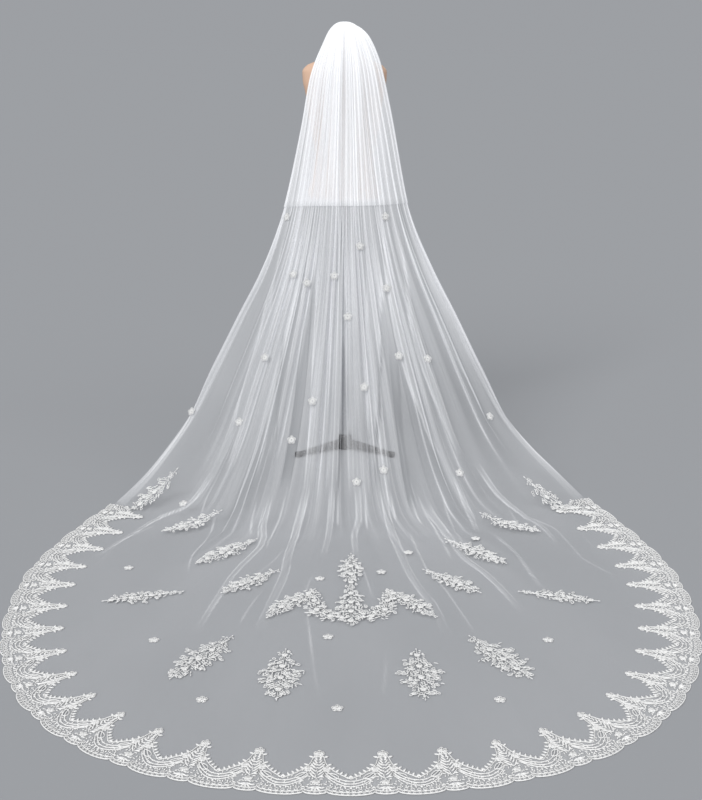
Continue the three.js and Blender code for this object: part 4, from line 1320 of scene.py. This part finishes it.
def base_piece(finish):
    """The stand's base: a turned hub, three legs and three turned feet, as one mesh."""
    parts = [turned(round_edge(**HUB))]
    for degrees in LEG_TURNS:
        way = math.radians(degrees)
        parts.append(leg(degrees))
        foot = (LEG_REACH * math.cos(way), LEG_REACH * math.sin(way))
        parts.append(turned(round_edge(**FOOT), foot, 40))
    return settle(add_piece("stand_tripod", *join(parts)), finish, "black_metal", "stand_base")


def band_piece(finish):
    """The ribbon over the gathers: a flat oval with fine puckers round its side, rounded at its edges."""
    low, high = (np.array(corner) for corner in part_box("gather_band"))
    middle, half = (low + high) / 2, (high - low) / 2
    turn = 2 * math.pi * np.arange(360) / 360
    long, wide = squared(np.cos(turn), 0.35), squared(np.sin(turn), 0.8)
    level = np.array([1.0, 0.92, 0.6, 0.0, -0.6, -0.92, -1.0])[:, None]
    inset = np.array([0.55, 0.86, 0.98, 1.0, 0.98, 0.86, 0.55])[:, None]
    pucker = 1 - 0.05 * (0.5 + 0.5 * np.cos(44 * turn)) * (1 - level ** 2)
    x = middle[0] + (half[0] - half[1] * (1 - inset)) * long + 0 * level
    y = middle[1] + half[1] * wide * inset * pucker
    points = np.stack([x, y, middle[2] + half[2] * level + 0 * x], -1)
    return settle(add_piece("veil_ribbon_band", *closed_rings(points)), finish, "ribbon", "gather_band")


# The two tiers

def tier_piece(name, points, layers, finish, solid):
    """A tier's mesh. Its UV map is CUT_WIDTH wide and as long as the cloth runs, in metres."""
    step = np.linalg.norm(np.diff(points, axis=0), axis=-1).mean(1)
    run = np.append(0, np.cumsum(step))
    across = np.linspace(-CUT_WIDTH / 2, CUT_WIDTH / 2, points.shape[1])
    uv = np.stack(np.broadcast_arrays(across, run[:, None]), -1)
    quads = grid_quads(*points.shape[:2])
    piece = add_piece(name, points.reshape(-1, 3), quads, uv=uv.reshape(-1, 2), layers=layers)
    return settle(piece, finish, "tulle", solid)


def rows_over(stretches):
    """Rows down a tier, evenly spaced in each stretch. The last stretch has a row at its end as well."""
    last = len(stretches) - 1
    return np.concatenate([
        np.linspace(start, end, count, endpoint=number == last)
        for number, (start, end, count) in enumerate(stretches)
    ])


def build_long_tier(tulle):
    """The long tier, flatter where the short one covers it. Returns its piece and its points."""
    rows = rows_over(LONG_STRETCHES)
    under_short = 1 - ease(rows, SHORT_HEM - 0.02, SHORT_HEM + 0.1)
    depth = 1 - FLATTER_UNDER_SHORT * under_short
    points, layers = tier_points(rows, depth, -CLOTH_MIDDLE, **LONG_FOLDS)
    density = 1 + UPPER_FALL_MORE * (1 - ease(rows, SHORT_HEM, UPPER_FALL_END))[:, None]
    return tier_piece("veil_long_tulle", points, density * layers, tulle, "long_tier"), points


def build_short_tier(tulle):
    """The short tier, which thins out towards its sides and its hem."""
    rows = rows_over(SHORT_STRETCHES)
    depth = np.full(len(rows), SHORT_DEPTH)
    points, layers = tier_points(rows, depth, SHORT_LIFT, **SHORT_FOLDS)
    aside = ease(np.abs(np.linspace(-1, 1, points.shape[1])), 0.4, 1)
    thinner = SHORT_THINNER_AT_SIDES * aside * ease(rows, 0.08, 0.20)[:, None]
    hem = SHORT_THINNER_AT_HEM * ease(rows, SHORT_HEM - 0.008, SHORT_HEM)[:, None]
    density = SHORT_DENSITY * (1 - thinner) * (1 - hem)
    return tier_piece("veil_short_tulle", points, density * layers, tulle, "short_tier")


def build_veil():
    """Both tiers, and what is sewn on the long one."""
    tulle = net_material("tulle net", 0.11, 0.0018, (0.93, 0.94, 0.96))
    ground = net_material("lace ground net", 0.14, 0.0012, (0.93, 0.93, 0.92))
    thread = thread_material()
    long_tier, long_points = build_long_tier(tulle)
    short_tier = build_short_tier(tulle)
    shake = np.random.default_rng(7)
    on_it = [
        add_border_ground(ground),
        add_border("lace_edge_cords", lace_cords(), thread),
        add_border("lace_edge_leaves", lace_leaves(), thread),
        add_border("lace_edge_filling", lace_filling(), thread),
        motif_piece(thread, shake),
    ]
    for name, near, far, half_width, lift in SPRAYS:
        for side in (-1, 1):
            on_it.append(spray_piece(name, near, far, half_width, lift, side, thread, shake))
    on_it.append(flower_pieces(thread, long_points.reshape(-1, 3)))


def build_form():
    """The form, its cap and stand, the ribbon band, and the finish of the comb's own solid."""
    form_piece(skin_material())
    cap_piece(wood_material())
    steel = steel_material()
    pole_piece(steel)
    base_piece(coat_material())
    band_piece(ribbon_material())
    comb = next(piece for piece in bpy.data.objects if piece.name == "comb")
    comb.data.materials.clear()
    comb.data.materials.append(steel)


# Camera, floor and light

FLOOR_COLOUR = np.array([0.335, 0.345, 0.36])
SKY_LIGHT = np.array([0.38, 0.385, 0.40])
FLOOR_HALF = 400.0

CAMERA_PLACE = (0.025, -4.85, 1.65)
CAMERA_TILT = 73.5
SENSOR_WIDTH = 36
LENS = 54.0

# Strength of each lamp, its height and its turn round the object, and how widely it is spread, in degrees
LAMPS = {"key": (2.35, 35, -25, 32), "fill": (0.5, 35, 50, 40), "top": (0.35, 75, 180, 30)}


def add_camera():
    """The photograph's own angle: a little above the crown, behind the veil, looking slightly down."""
    camera = bpy.data.objects.new("camera", bpy.data.cameras.new("camera"))
    camera.location = CAMERA_PLACE
    camera.rotation_euler = (math.radians(CAMERA_TILT), 0, 0)
    camera.data.sensor_fit = "AUTO"
    camera.data.sensor_width = SENSOR_WIDTH
    camera.data.lens = LENS
    scene.collection.objects.link(camera)
    scene.camera = camera


def add_lamp(name, strength, height, turn, spread_degrees):
    """A soft distant light from a height and a turn round the object, both in degrees."""
    lamp = bpy.data.lights.new(name, "SUN")
    lamp.energy = strength
    lamp.angle = math.radians(spread_degrees)
    holder = bpy.data.objects.new(name, lamp)
    holder.rotation_euler = (math.radians(90 - height), 0, math.radians(turn))
    scene.collection.objects.link(holder)


def floor_light():
    """What lights a matt floor: the sky, and each lamp times the sine of its height over pi."""
    lamps = sum(strength * math.sin(math.radians(height)) for strength, height, *_ in LAMPS.values())
    return SKY_LIGHT + lamps / math.pi


def add_studio():
    """A wide pale floor, an even sky, and three soft lights. What the camera sees past the floor has
    the floor's own lit colour, so that no line shows where it ends."""
    corners = np.array([[-1, -1, 0], [1, -1, 0], [1, 1, 0], [-1, 1, 0]]) * FLOOR_HALF
    floor = add_piece("studio_floor", corners, np.array([[0, 1, 2, 3]]))
    floor.data.materials.append(floor_material())
    world = bpy.data.worlds.new("studio")
    world.use_nodes = True
    scene.world = world
    tree = world.node_tree
    light = tree.nodes["Background"]
    light.inputs["Color"].default_value = (*SKY_LIGHT, 1)
    seen = tree.nodes.new("ShaderNodeBackground")
    seen.inputs["Color"].default_value = (*(FLOOR_COLOUR * floor_light()), 1)
    path = tree.nodes.new("ShaderNodeLightPath")
    mix = tree.nodes.new("ShaderNodeMixShader")
    tree.links.new(path.outputs["Is Camera Ray"], mix.inputs["Fac"])
    tree.links.new(light.outputs[0], mix.inputs[1])
    tree.links.new(seen.outputs[0], mix.inputs[2])
    tree.links.new(mix.outputs[0], tree.nodes["World Output"].inputs["Surface"])
    for name, settings in LAMPS.items():
        add_lamp(f"{name} light", *settings)


def main():
    """Builds the set and the veil."""
    add_camera()
    add_studio()
    build_form()
    build_veil()
    scene.view_settings.view_transform = "Standard"
    scene.cycles.transparent_max_bounces = 96
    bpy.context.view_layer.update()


main()
